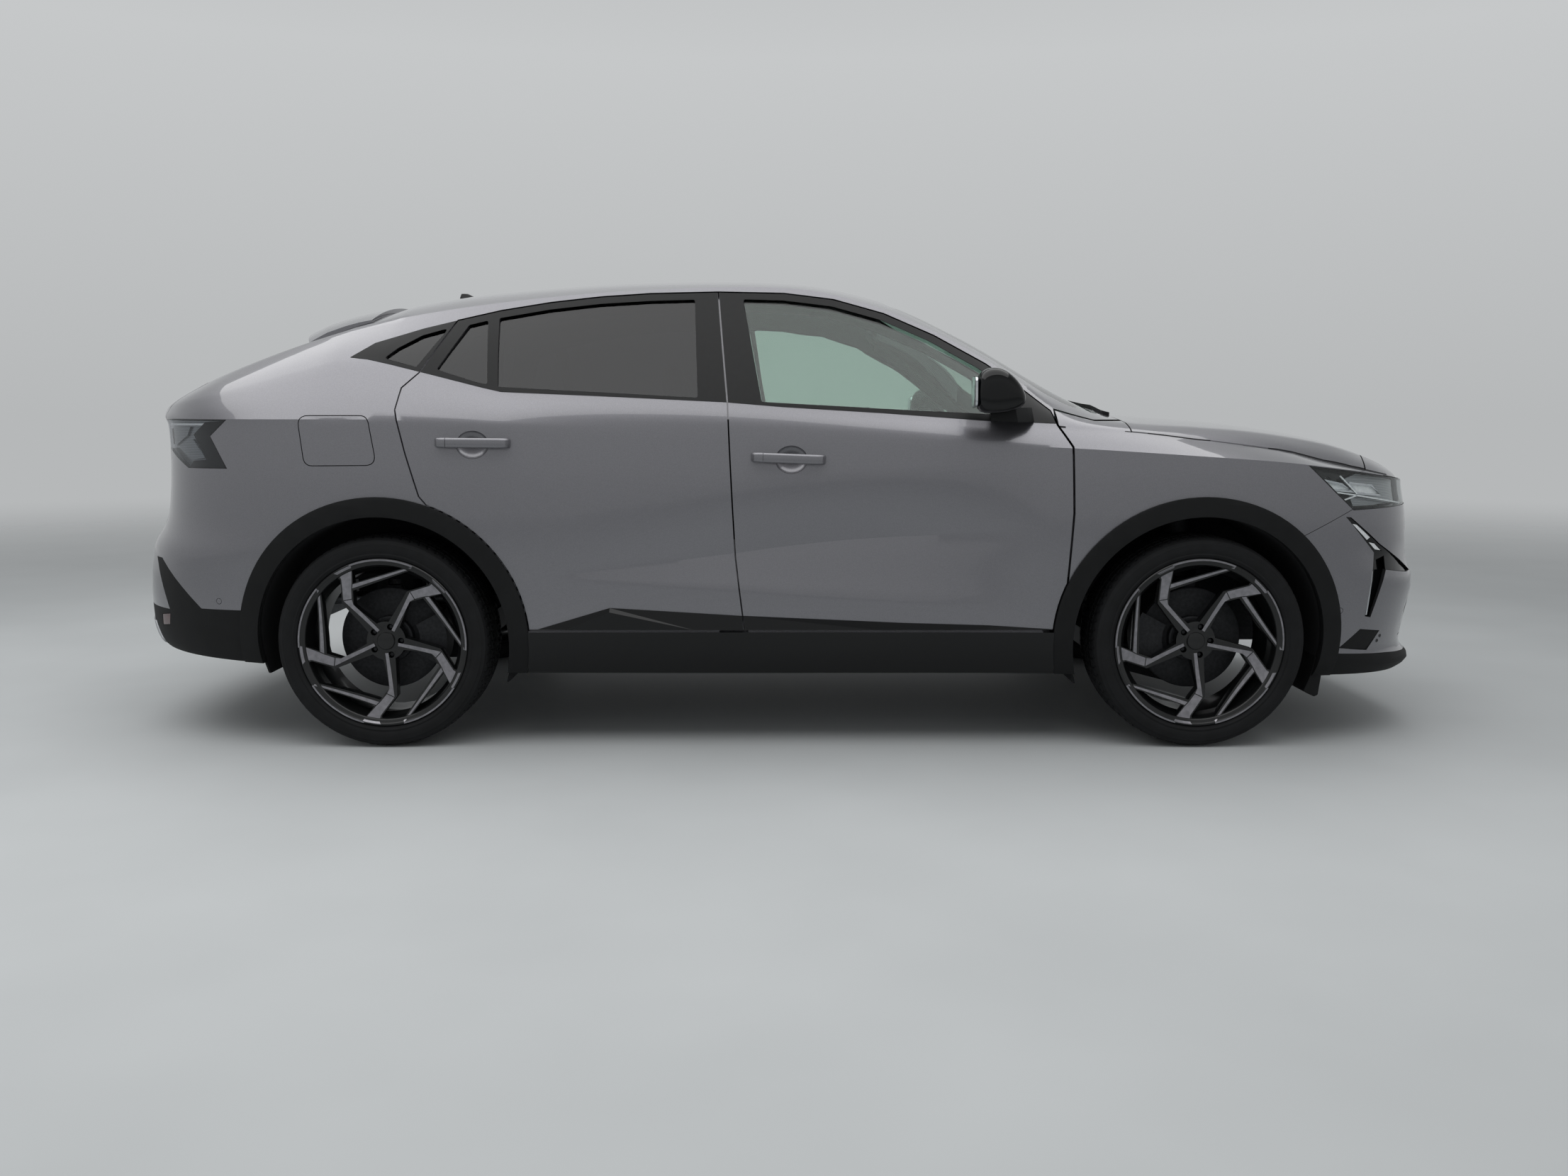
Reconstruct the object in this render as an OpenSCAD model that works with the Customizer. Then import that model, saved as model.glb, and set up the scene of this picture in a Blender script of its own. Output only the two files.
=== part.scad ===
// A five-door coupe sport utility vehicle, in millimetres.
// +X is forward, +Y is the left side, +Z is up. The origin is on the ground, in the middle of the length.

/* [Overall] */
// Distance between the front and rear axles
wheelbase = 2738; // [2724:1:2752]
// Front axle, forward of the middle of the car
front_axle_x = 1404; // [1396:1:1412]
// Distance between the left and right wheel centres
track = 1600; // [1580:1:1610]
// Height of the roof above the ground
roof_z = 1613; // [1595:1:1640]

/* [Body panels] */
// Thickness of an outer skin
skin = 10; // [8:1:14]
// Thickness of a whole door, outside to inside
door_t = 62; // [50:1:75]
// Thickness of the body side with its pillars
wall = 92; // [85:1:110]
// Gap between one panel and the next
gap = 5; // [5:0.5:7]
// Width of the thin flange round a door
flange = 30; // [26:1:36]
// Clearance round a door's thick part, in its opening
jamb = 19; // [17:1:22]
// Thickness of the window glass
glass_t = 5; // [4:0.5:6]
// Width of the ring of plastic round a wheel arch
arch_w = 66; // [50:1:75]
// Radius of the open wheel arch
arch_r = 424; // [415:1:432]
// How far the arch ring stands out of the body
arch_out = 9; // [4:1:14]

/* [Wheels] */
// Outside radius of the tyre
tyre_r = 358; // [350:1:365]
// Width of the tyre
tyre_w = 245; // [235:1:255]
// Radius of the rim's outer lip
lip_r = 284; // [276:1:288]
// Radius of the brake disc
disc_r = 172; // [160:1:180]
// Steering lock to each side, in degrees
steer_lock = 33; // [25:1:34]

/* [Hidden] */
$fn = 96;

rear_axle_x = front_axle_x - wheelbase;
hub_y = track / 2;
axle_z = tyre_r;
fit = 0.3;
far = 2600;

paint = "#8a898c";
gloss_black = "#101114";
plain_black = "#1b1c1e";
glass_tint = "#7f9a96";
dark_glass = "#3c4043";
metal = "#6c6e72";
cloth = "#2c2d30";
red_lens = "#5a1a1c";

// Body lines along the length, each a list of [x, value].
// Height of the bottom edge
bottom_line = [[-2355, 318], [-2150, 300], [-1760, 282], [-900, 250], [900, 246], [1780, 236], [2355, 214]];
// Height of the shoulder crease
shoulder_line = [[-2300, 1106], [-1839, 1102], [-1251, 1098], [-791, 1074], [11, 1042], [918, 1009],
    [1470, 975], [1698, 957], [2018, 918], [2300, 872]];
// Height of the belt under the side windows, the top of the haunch and the edge of the bonnet
belt_line = [[-2300, 1122], [-1896, 1186], [-1600, 1258], [-1444, 1294], [-1305, 1270], [-1158, 1234],
    [-994, 1193], [-928, 1180], [-597, 1166], [-184, 1145], [343, 1109], [916, 1074], [1193, 1056],
    [1480, 1022], [1707, 993], [1819, 966], [2018, 925], [2300, 876]];
// Height of the roof rail, the pillars and the bonnet's crest
rail_line = [[-2300, 1128], [-2228, 1146], [-2078, 1200], [-1896, 1270], [-1641, 1362], [-1444, 1420],
    [-1217, 1464], [-959, 1500], [-616, 1533], [-215, 1551], [60, 1545], [200, 1520], [353, 1475],
    [525, 1400], [698, 1304], [825, 1218], [919, 1150], [1010, 1110], [1193, 1088], [1604, 1060],
    [1884, 1018], [2052, 972], [2205, 918], [2300, 878]];
// Height of the middle of the car, roof_z at its highest
crown_line = [[-2300, 1140], [-2228, 1164], [-2078, 1226], [-1896, 1306], [-1705, 1380], [-1569, 1432],
    [-1444, 1500], [-1394, 1520], [-1191, 1557], [-1026, 1577], [-660, 1604], [-295, 1613],
    [11, 1606], [194, 1584], [432, 1522], [617, 1438], [747, 1370], [933, 1262], [1100, 1166],
    [1180, 1126], [1288, 1118], [1604, 1094], [1884, 1056], [2052, 1016], [2205, 944], [2300, 882]];
// Half widths at the shoulder, belt and rail, before the ends turn in
side_width = [[-1700, 912], [-1334, 914], [-700, 903], [0, 900], [700, 902], [1404, 911], [1700, 908]];
belt_width = [[-2300, 872], [-1896, 838], [-1600, 806], [-1444, 802], [-1305, 812], [-928, 852], [-184, 872],
    [600, 872], [916, 862], [1193, 832], [1480, 800], [1819, 798], [2300, 850]];
rail_width = [[-2300, 800], [-2078, 726], [-1896, 684], [-1641, 640], [-1444, 626], [-959, 634], [-215, 640],
    [200, 646], [525, 672], [698, 704], [825, 736], [919, 764], [1010, 774], [1193, 744], [1604, 686],
    [1884, 676], [2300, 740]];
// How far the side swells out of the shoulder, by height
side_swell = [[200, -62], [246, -34], [300, -12], [380, 2], [470, 8], [560, 12], [680, 20], [790, 22],
    [900, 18], [980, 11], [1060, 2], [1110, -4]];
// Where the nose and the tail end, by height
nose_line = [[210, 2316], [238, 2352], [262, 2348], [300, 2310], [400, 2318], [500, 2338], [552, 2336],
    [606, 2308], [760, 2294], [872, 2272], [900, 2286]];
tail_line = [[300, -2290], [336, -2338], [447, -2355], [560, -2350], [612, -2340], [672, -2326], [730, -2286],
    [790, -2264], [944, -2250], [1080, -2256], [1110, -2268], [1150, -2274]];
nose_power = 3.1;
tail_power = 2.9;

// The hollow pressed into the doors: its deepest line, the ridge below it, and its depth along the length
hollow_line = [[-740, 588], [-151, 658], [11, 680], [260, 705], [773, 730]];
ridge_line = [[-740, 576], [-368, 554], [-135, 543], [11, 529], [845, 470]];
hollow_depth = [[-740, 0], [-420, 14], [-80, 34], [380, 40], [640, 24], [880, 0]];

// Rows of the body surface: 0 to 1 up the side, to 2 at the belt, to 3 at the rail, to 4 at the middle
fine_rows = [0, 0.06, 0.14, 0.28, 0.43, 0.56, 0.74, 0.9, 1, 1.5, 2, 2.5, 3, 3.14, 3.5, 3.95];
plain_rows = [0, 0.3, 0.6, 0.85, 1, 2, 2.5, 3, 3.3, 3.95];
nose_turns = [4, 12, 24, 36, 48, 59, 69, 78, 86];
tail_turns = [87, 78, 67, 55, 42, 28, 14];
// Stations between the axles, as shares of the wheelbase
fine_stations = [0, 0.06, 0.13, 0.21, 0.3, 0.4, 0.5, 0.57, 0.64, 0.7, 0.755, 0.81, 0.855, 0.89, 0.917, 0.955, 1];
plain_stations = [0, 0.2, 0.4, 0.57, 0.7, 0.81, 0.89, 0.917, 1];

function slope(t, i) =
    let(a = max(i - 1, 0), b = min(i + 1, len(t) - 1))
    (t[b][1] - t[a][1]) / (t[b][0] - t[a][0]);

// Smooth curve through a line's points, level beyond its ends
function along(t, x) =
    x <= t[0][0] ? t[0][1] :
    x >= t[len(t) - 1][0] ? t[len(t) - 1][1] :
    let(
        i = len([for (p = t) if (p[0] <= x) 1]) - 1,
        h = t[i + 1][0] - t[i][0],
        s = (x - t[i][0]) / h
    )
    t[i][1] * (1 + 2 * s) * (1 - s) * (1 - s) + slope(t, i) * h * s * (1 - s) * (1 - s)
    + t[i + 1][1] * s * s * (3 - 2 * s) - slope(t, i + 1) * h * s * s * (1 - s);

function mix(a, b, s) = a + (b - a) * s;

function nose_x(v) = v <= 1 ? along(nose_line, mix(214, 872, v)) : mix(2272, 2296, (v - 1) / 3);
function tail_x(v) = v <= 1 ? along(tail_line, mix(318, 1106, v)) : -2270;

function crown_z(x) = along(crown_line, x) + (roof_z - 1613) * max(0, min(1, (along(crown_line, x) - 1200) / 300));
function rail_z(x) = along(rail_line, x) + (roof_z - 1613) * max(0, min(1, (along(rail_line, x) - 1200) / 300));

function hollow(x, z) = x < -740 || x > 880 ? 0 :
    let(deep = along(hollow_line, x), ridge = along(ridge_line, x))
    along(hollow_depth, x) * (z > deep ? pow(max(0, 1 - (z - deep) / 230), 1.6) :
        max(0, (z - ridge) / (deep - ridge)));

// One point of a body section: x, row v, how far the width turns in, and the inset d
function section(x, v, turn, d) =
    let(
        zs = along(shoulder_line, x), zb = along(belt_line, x), zr = rail_z(x),
        ys = along(side_width, x) + along(side_swell, zs), yb = along(belt_width, x), yr = along(rail_width, x)
    )
    v <= 1 ?
        let(z = mix(along(bottom_line, x) - (d > 0 ? 40 : 0), zs - 0.3 * d, v))
        [x, max(4, (along(side_width, x) + along(side_swell, z) - hollow(x, z)) * turn - d), z] :
    v <= 2 ?
        let(s = v - 1)
        [x, max(4, (mix(ys, yb, s) + 5 * sin(180 * s)) * turn - d), mix(zs - 0.3 * d, zb - 0.5 * d, s)] :
    v <= 3 ?
        let(s = v - 2)
        [x, max(4, (mix(yb, yr, s) + 14 * sin(180 * s)) * turn - mix(d, 0.85 * d, s)),
            mix(zb - 0.5 * d, zr - 0.9 * d, s)] :
    let(s = 4 - v, y = yr * turn - 0.85 * d, drop = (crown_z(x) - d) - (zr - 0.9 * d))
    [x, max(3, y * s), (crown_z(x) - d) - drop * pow(s, 2.3)];

function column_x(v, d, c, stations) =
    let(n = len(tail_turns), m = n + len(stations), xr = tail_x(v) + d, xf = nose_x(v) - d)
    c < n ? rear_axle_x + (xr - rear_axle_x) * pow(sin(tail_turns[c]), 2 / tail_power) :
    c < m ? mix(rear_axle_x, front_axle_x, stations[c - n]) :
    front_axle_x + (xf - front_axle_x) * pow(sin(nose_turns[c - m]), 2 / nose_power);

function column_turn(c, stations) =
    let(n = len(tail_turns), m = n + len(stations))
    c < n ? pow(cos(tail_turns[c]), 2 / tail_power) :
    c < m ? 1 :
    pow(cos(nose_turns[c - m]), 2 / nose_power);

// The whole outside of the body as one closed solid, made smaller by d all round
module body(d = 0, rows = fine_rows, stations = fine_stations) {
    nc = len(tail_turns) + len(stations) + len(nose_turns);
    nr = len(rows);
    right = [for (c = [0:nc - 1]) for (v = rows)
        let(p = section(column_x(v, d, c, stations), v, column_turn(c, stations), d)) [p[0], -p[1], p[2]]];
    left = [for (p = right) [p[0], -p[1], p[2]]];
    m = nc * nr;
    side = [for (c = [0:nc - 2]) for (r = [0:nr - 2])
        let(a = c * nr + r, b = a + nr) each [[a, b, b + 1], [a, b + 1, a + 1]]];
    other = [for (f = side) [f[0] + m, f[2] + m, f[1] + m]];
    ends = [for (r = [0:nr - 2]) each [
        [r, r + 1, m + r + 1, m + r],
        [m - nr + r, m + m - nr + r, m + m - nr + r + 1, m - nr + r + 1]]];
    seams = [for (c = [0:nc - 2]) let(a = c * nr, t = a + nr - 1) each [
        [a, m + a, m + a + nr, a + nr],
        [t, t + nr, m + t + nr, m + t]]];
    faces = concat(side, other, ends, seams);
    polyhedron(concat(right, left), [for (f = faces) [for (i = [len(f) - 1:-1:0]) f[i]]]);
}

// Prisms that cut the body: from an outline seen from the side, from above or from behind
module from_side(side) {
    rotate([90, 0, 0]) translate([0, 0, side < 0 ? 250 : -far]) linear_extrude(far - 250) children();
}
module from_both_sides() {
    rotate([90, 0, 0]) linear_extrude(2 * far, center = true) children();
}
module from_above(low = 300) {
    translate([0, 0, low]) linear_extrude(far) children();
}
module from_ends(x0, x1) {
    translate([x0, 0, 0]) rotate([90, 0, 90]) linear_extrude(x1 - x0) children();
}

// One mesh for a panel cut out of the body surface
module as_one_mesh() {
    resize([0, 0, 0]) union() children();
}

function arc(cx, cz, r, a0, a1, n = 10) =
    [for (i = [0:n]) let(a = mix(a0, a1, i / n)) [cx + r * cos(a), cz + r * sin(a)]];

// Side outlines as [x, z]
door_joint = [[-214, 1533], [-175, 1148], [-151, 646], [-121, 400]];
window_top_front = [[-214, 1534], [11, 1529], [182, 1508], [353, 1460], [525, 1385], [698, 1288], [825, 1196],
    [905, 1130]];
window_top_rear = [[-1105, 1437], [-959, 1471], [-787, 1499], [-616, 1518], [-445, 1529], [-214, 1534]];
front_door = concat(window_top_front, [[920, 1082], [962, 1010], [968, 794], [955, 560], [932, 400]],
    [for (i = [3:-1:1]) door_joint[i]]);
rear_door = concat(window_top_rear, [for (i = [1:3]) door_joint[i]],
    [[-855, 400]], arc(rear_axle_x, axle_z, arch_r + arch_w + gap / 2, 12, 70, 8),
    [[-1190, 850], [-1233, 991], [-1269, 1132], [-1256, 1205], [-1205, 1256]]);
front_window = [[-128, 1508], [11, 1504], [175, 1484], [340, 1438], [505, 1366], [670, 1272], [765, 1200],
    [800, 1112], [343, 1136], [-62, 1158]];
rear_window = [[-961, 1444], [-787, 1474], [-616, 1493], [-445, 1503], [-293, 1507], [-274, 1172], [-597, 1190],
    [-940, 1208]];
rear_vent = [[-1150, 1266], [-1062, 1420], [-998, 1436], [-975, 1216], [-1010, 1222]];
quarter_window = [[-1330, 1304], [-1290, 1340], [-1217, 1384], [-1130, 1410], [-1218, 1274]];
headlamp_side = [[1742, 950], [1841, 860], [1912, 800], [2400, 812], [2400, 868], [2244, 886], [2071, 908],
    [1931, 927]];
tail_lamp_side = [[-2400, 1100], [-1901, 1096], [-1963, 1041], [-1913, 935], [-2048, 937], [-2093, 999],
    [-2400, 1000]];
flap_side = [[-1584, 1110], [-1362, 1110], [-1352, 1100], [-1328, 966], [-1336, 956], [-1556, 952], [-1566, 962],
    [-1592, 1100]];
lamp_inner_y = 470;
tailgate_half = 602;
tailgate_top_x = -1424;
tailgate_low_z = 676;
rear_seam_z = 714;
hood_rear_x = 1176;
sill_top_z = 394;
cover_t = 14;
lamp_t = 58;
wheel_house_y = 468;
rear_house_y = 640;

module front_door_shape() polygon(front_door);
module rear_door_shape() polygon(rear_door);
module tailgate_shape() {
    polygon([[-tailgate_half + 60, tailgate_low_z], [tailgate_half - 60, tailgate_low_z], [tailgate_half, 800],
        [tailgate_half, 1140], [tailgate_half - 12, 1380], [tailgate_half - 26, 1600],
        [-tailgate_half + 26, 1600], [-tailgate_half + 12, 1380], [-tailgate_half, 1140], [-tailgate_half, 800]]);
}
function nose_turn(x) = x <= front_axle_x ? 1 :
    pow(max(0.01, 1 - pow((x - front_axle_x) / (2272 - front_axle_x), nose_power)), 1 / nose_power);
hood_stations = [hood_rear_x, 1230, 1300, 1450, 1650, 1850, 1960, 2012];
hood_front = [[2044, 590], [2084, 450], [2118, 300], [2138, 150], [2144, 0]];
module hood_half_shape() {
    polygon(concat([[hood_rear_x, -1]], [for (x = hood_stations) [x, along(belt_width, x) * nose_turn(x) - 6]],
        hood_front, [[2144, -1]]));
}
module hood_shape() {
    hood_half_shape();
    mirror([0, 1, 0]) hood_half_shape();
}
windshield_half_top = 540;
module windshield_shape() {
    polygon([[1100, -640], [1000, -660], [800, -640], [600, -600], [402, -windshield_half_top], [352, -420],
        [326, 0], [352, 420], [402, windshield_half_top], [600, 600], [800, 640], [1000, 660], [1100, 640],
        [1128, 400], [1136, 0], [1128, -400]]);
}
module rear_window_shape() {
    polygon([[-1560, -520], [-2040, -560], [-2100, -520], [-2120, 0], [-2100, 520], [-2040, 560], [-1560, 520]]);
}

// What is cut out of the body side for a door: the outer step, the thick part's step and the clear opening
module door_cut(side) {
    difference() {
        from_side(side) offset(delta = gap / 2) children();
        body(skin + 8, plain_rows, plain_stations);
    }
    difference() {
        from_side(side) offset(delta = jamb - flange) children();
        body(door_t + 6, plain_rows, plain_stations);
    }
    from_side(side) offset(delta = -flange - 36) children();
}

// Room in the pillars for the part of a door that swings in, in front of its hinge
module hinge_pocket(side) {
    difference() {
        from_side(side) {
            polygon([[880, 394], [946, 394], [978, 700], [976, 1030], [930, 1092], [880, 1100]]);
            polygon([[-205, 394], [-108, 394], [-140, 660], [-164, 1100], [-205, 1104]]);
        }
        body(door_t + 6, plain_rows, plain_stations);
    }
}

module wheel_space(r) {
    for (x = [front_axle_x, rear_axle_x]) for (s = [-1, 1])
        let(y0 = x > 0 ? wheel_house_y : rear_house_y)
        translate([x, s * y0, axle_z]) rotate([s > 0 ? -90 : 90, 0, 0]) cylinder(r = r, h = 700, $fn = 48);
}

module body_shell() color(paint) as_one_mesh() difference() {
    body(0);
    body(wall, plain_rows, plain_stations);
    for (s = [-1, 1]) {
        door_cut(s) front_door_shape();
        door_cut(s) rear_door_shape();
        hinge_pocket(s);
        from_side(s) polygon(quarter_window);
        from_side(s) polygon(tail_lamp_side);
    }
    // The front end, the bumpers and the sills are pieces of their own
    difference() {
        from_both_sides() polygon([[far, -far], [far, far], [hood_rear_x - gap, far], [hood_rear_x - gap, 1100],
            [1060, 1100], [917, 1138], [911, 1084], [955, 1012], [961, 794], [950, 394], [950, -far]]);
        intersection() {
            body(skin + fit, fine_rows, fine_stations);
            translate([900, -far, 394]) cube([110, 2 * far, 690]);
        }
    }
    from_both_sides() translate([-far, -far]) square([far + rear_axle_x - 166, far + rear_seam_z]);
    from_both_sides() translate([-far, -far]) square([2 * far, far + sill_top_z]);
    from_ends(-far, tailgate_top_x + gap) offset(delta = gap) tailgate_shape();
    from_above(1000) windshield_shape();
    difference() {
        from_side(-1) offset(delta = gap) polygon(flap_side);
        body(44, plain_rows, plain_stations);
    }
    wheel_space(arch_r + arch_w);
}

module sill_covers() color(gloss_black) as_one_mesh() difference() {
    body(0);
    body(wall, plain_rows, plain_stations);
    translate([-far, -far, sill_top_z]) cube([2 * far, 2 * far, far]);
    wheel_space(arch_r + arch_w);
    for (x = [rear_axle_x - far, front_axle_x]) translate([x, -far, -10]) cube([far, 2 * far, far]);
}

module front_fenders() color(paint) as_one_mesh() difference() {
    intersection() {
        body(0);
        from_both_sides() polygon([[937, 400], [960, 560], [973, 794], [967, 1012], [925, 1084], [922, 1130],
            [1060, 1095], [hood_rear_x + 2, 1095], [1300, 1112], [1500, 1112], [1700, 1060], [2120, 1000],
            [2120, 900], [1912, 806], [1620, 662], [1500, 400]]);
    }
    body(skin, fine_rows, fine_stations);
    from_above(900) offset(delta = gap) hood_shape();
    translate([900, -560, 900]) cube([1400, 1120, 400]);
    for (s = [-1, 1]) from_side(s) polygon(headlamp_side);
    wheel_space(arch_r + arch_w);
}

module hood() color(paint) as_one_mesh() difference() {
    intersection() {
        body(0);
        from_above(900) hood_shape();
    }
    body(26, plain_rows, fine_stations);
    difference() {
        body(skin, plain_rows, fine_stations);
        from_above(900) offset(delta = -45) hood_shape();
    }
}

grille_low = 556;
grille_high = 792;
module grille_shape() {
    polygon([[-500, grille_high], [500, grille_high], [640, 700], [470, grille_low], [-470, grille_low],
        [-640, 700]]);
    polygon([[-430, 306], [430, 306], [500, 470], [-500, 470]]);
}
drl_side = [[1960, 752], [1990, 742], [2150, 600], [2190, 574], [2030, 640], [2062, 596], [2012, 420], [1996, 420],
    [2016, 610]];

module front_bumper() color(paint) as_one_mesh() difference() {
    body(0);
    body(cover_t, fine_rows, plain_stations);
    translate([-far, -far, -10]) cube([far + 1500, 2 * far, far]);
    from_both_sides() polygon([[1400, 400], [1400, 1300], [1700, 1300], [2120, 1300], [2120, 900], [1912, 804],
        [1620, 660], [1500, 400]]);
    from_above(860) offset(delta = gap) hood_shape();
    for (s = [-1, 1]) difference() {
        from_side(s) union() {
            polygon(headlamp_side);
            polygon(drl_side);
        }
        translate([0, -lamp_inner_y, 0]) cube([far, 2 * lamp_inner_y, far]);
    }
    from_ends(1900, far) grille_shape();
    wheel_space(arch_r + arch_w);
}

module rear_bumper() color(paint) as_one_mesh() difference() {
    body(0);
    body(cover_t, fine_rows, plain_stations);
    from_both_sides() translate([-far, rear_seam_z]) square([2 * far, far]);
    translate([rear_axle_x - 166, -far, -10]) cube([2 * far, 2 * far, far]);
    from_ends(-far, rear_axle_x - 166) offset(delta = gap) tailgate_shape();
    wheel_space(arch_r + arch_w);
}

module grille() color(plain_black) as_one_mesh() difference() {
    intersection() {
        body(3, fine_rows, plain_stations);
        from_ends(1900, far) grille_shape();
    }
    body(28, plain_rows, plain_stations);
    for (z = [grille_low + 26:52:grille_high - 40], s = [-1, 1])
        translate([1900, s > 0 ? 16 : -520, z]) cube([600, 504, 34]);
    for (z = [332:56:430], s = [-1, 1])
        translate([1900, s > 0 ? 16 : -400, z]) cube([600, 384, 36]);
}

module headlamps() color(glass_tint) as_one_mesh() difference() {
    body(0);
    body(lamp_t, fine_rows, plain_stations);
    difference() {
        translate([-far, -far, -10]) cube([2 * far, 2 * far, far]);
        for (s = [-1, 1]) from_side(s) union() {
            polygon(headlamp_side);
            polygon(drl_side);
        }
    }
    translate([0, -lamp_inner_y, 0]) cube([far, 2 * lamp_inner_y, far]);
}

module tail_lamps() color(red_lens) as_one_mesh() difference() {
    body(0);
    body(lamp_t, fine_rows, plain_stations);
    difference() {
        translate([-far, -far, -10]) cube([2 * far, 2 * far, far]);
        for (s = [-1, 1]) from_side(s) polygon(tail_lamp_side);
    }
    from_ends(-far, 0) offset(delta = gap) tailgate_shape();
}

module gate_lamp_space() {
    for (s = [-1, 1]) difference() {
        from_side(s) polygon(tail_lamp_side);
        translate([-far, -360, 0]) cube([far, 720, far]);
    }
}

module tailgate() color(paint) as_one_mesh() difference() {
    intersection() {
        body(0);
        from_ends(-far, tailgate_top_x) tailgate_shape();
    }
    body(door_t, plain_rows, plain_stations);
    from_above(1150) rear_window_shape();
    difference() {
        gate_lamp_space();
        body(26, plain_rows, plain_stations);
    }
}

module tailgate_lamps() color(red_lens) as_one_mesh() difference() {
    intersection() {
        body(0);
        gate_lamp_space();
        from_ends(-far, tailgate_top_x) tailgate_shape();
    }
    body(26, plain_rows, plain_stations);
}

module tailgate_glass() color(dark_glass) as_one_mesh() difference() {
    intersection() {
        body(5);
        from_above(1150) offset(delta = -fit) rear_window_shape();
    }
    body(5 + glass_t);
}

module fixed_glass() color(glass_tint) as_one_mesh() difference() {
    intersection() {
        body(6);
        union() {
            from_above(1050) offset(delta = -fit) windshield_shape();
            for (s = [-1, 1]) from_side(s) offset(delta = -fit) polygon(quarter_window);
        }
    }
    body(6 + glass_t);
}

// A door: its skin as wide as the opening's outer step, its thick part narrower
module door(side) {
    difference() {
        intersection() {
            body(0);
            from_side(side) children(0);
        }
        body(door_t, plain_rows, plain_stations);
        difference() {
            body(skin, plain_rows, fine_stations);
            from_side(side) offset(delta = -flange) children(0);
        }
        from_side(side) children(1);
        wheel_space(arch_r + arch_w + gap);
    }
}

module rear_windows_shape() {
    polygon(rear_window);
    polygon(rear_vent);
}

module front_door_at(side) color(paint) as_one_mesh() difference() {
    door(side) {
        front_door_panel();
        polygon(front_window);
    }
    // The top corner behind the skin is cut back, to swing past the pillar
    intersection() {
        body(skin, plain_rows, fine_stations);
        from_side(side) polygon([[-230, 1400], [-181, 1400], [-158, 1540], [-230, 1540]]);
    }
}

module rear_door_at(side) color(paint) as_one_mesh() door(side) {
    rear_door_panel();
    rear_windows_shape();
}

module front_door_panel() offset(delta = -gap / 2) front_door_shape();
module rear_door_panel() offset(delta = -gap / 2) rear_door_shape();

module side_glass(side, tint) color(tint) as_one_mesh() difference() {
    intersection() {
        body(6);
        from_side(side) offset(delta = -fit) children();
    }
    body(6 + glass_t);
}

// Ring and liner of each wheel arch
module arch_cladding() color(plain_black) as_one_mesh() {
    difference() {
        intersection() {
            body(-arch_out, fine_rows, plain_stations);
            wheel_space(arch_r + arch_w);
        }
        body(18, plain_rows, plain_stations);
        wheel_space(arch_r);
    }
    difference() {
        intersection() {
            body(10, plain_rows, plain_stations);
            wheel_space(arch_r + 7);
        }
        wheel_space(arch_r);
    }
}

module fuel_flap() color(paint) as_one_mesh() difference() {
    intersection() {
        body(0);
        from_side(-1) polygon(flap_side);
    }
    body(8);
}

// A closed solid through rings of points
module loft(rings) {
    n = len(rings[0]);
    last = len(rings) - 1;
    polyhedron([for (r = rings) each r], concat(
        [for (k = [0:last - 1], i = [0:n - 1]) let(j = (i + 1) % n) each [
            [k * n + i, k * n + j, (k + 1) * n + j], [k * n + i, (k + 1) * n + j, (k + 1) * n + i]]],
        [[for (i = [n - 1:-1:0]) i], [for (i = [0:n - 1]) last * n + i]]));
}

spoiler_half = 566;
spoiler_stations = [-1, -0.94, -0.8, -0.6, -0.3, 0, 0.3, 0.6, 0.8, 0.94, 1];
module spoiler() color(paint) as_one_mesh() difference() {
    loft([for (s = spoiler_stations)
        let(drop = 74 * pow(abs(s), 2.4), back = 1 - 0.2 * pow(abs(s), 5), front_x = tailgate_top_x - 8)
        [for (p = [[0, 8], [-120, -14], [-200, -36], [-262, -62], [-280, -72], [-272, -80], [-190, -86],
            [-100, -130], [0, -120]])
            [front_x + p[0] * back, s * spoiler_half, 1512 + p[1] - drop]]]);
    body(-fit);
}

mirror_profile = [[660, 1118], [730, 1122], [778, 1138], [792, 1168], [770, 1216], [728, 1256], [690, 1270],
    [650, 1262], [628, 1236], [624, 1170], [632, 1130]];
module mirror_at(side) color(gloss_black) as_one_mesh() mirror([0, side < 0 ? 1 : 0, 0]) difference() {
    union() {
        loft([for (k = [[0.5, 922], [0.8, 934], [0.96, 960], [1, 1000], [0.9, 1034], [0.62, 1050]])
            [for (p = mirror_profile) [712 + (p[0] - 712) * k[0], k[1], 1192 + (p[1] - 1192) * k[0]]]]);
        loft([for (k = [[780, 700, 860], [880, 690, 840], [960, 680, 780]])
            [[k[1], k[0], 1104], [k[2], k[0], 1104], [k[2] - 12, k[0], 1140], [k[1] + 8, k[0], 1146]]]);
    }
    body(-fit);
}

floor_z = 296;
boot_z = 560;
bulkhead_x = 948;
module floor_pan() color(plain_black) as_one_mesh() difference() {
    intersection() {
        body(wall + fit, plain_rows, plain_stations);
        union() {
            // Cabin floor, seat pan, boot floor and the panel behind the engine, in one section
            from_both_sides() polygon([[bulkhead_x, 258], [bulkhead_x, 1020], [1166, 1040], [1166, 1060],
                [bulkhead_x - 20, 1040], [bulkhead_x - 20, 560], [840, floor_z], [-540, floor_z], [-600, 480],
                [rear_axle_x + 204, 480], [rear_axle_x + 154, boot_z], [-2180, boot_z], [-2180, boot_z - 20],
                [rear_axle_x + 144, boot_z - 20], [rear_axle_x + 194, 452], [-620, 440], [-560, 258]]);
            translate([-560, -130, 262]) cube([1440, 260, 190]);
        }
    }
    translate([-660, -100, 200]) cube([1620, 200, 222]);
    wheel_space(arch_r + arch_w);
}

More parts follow.
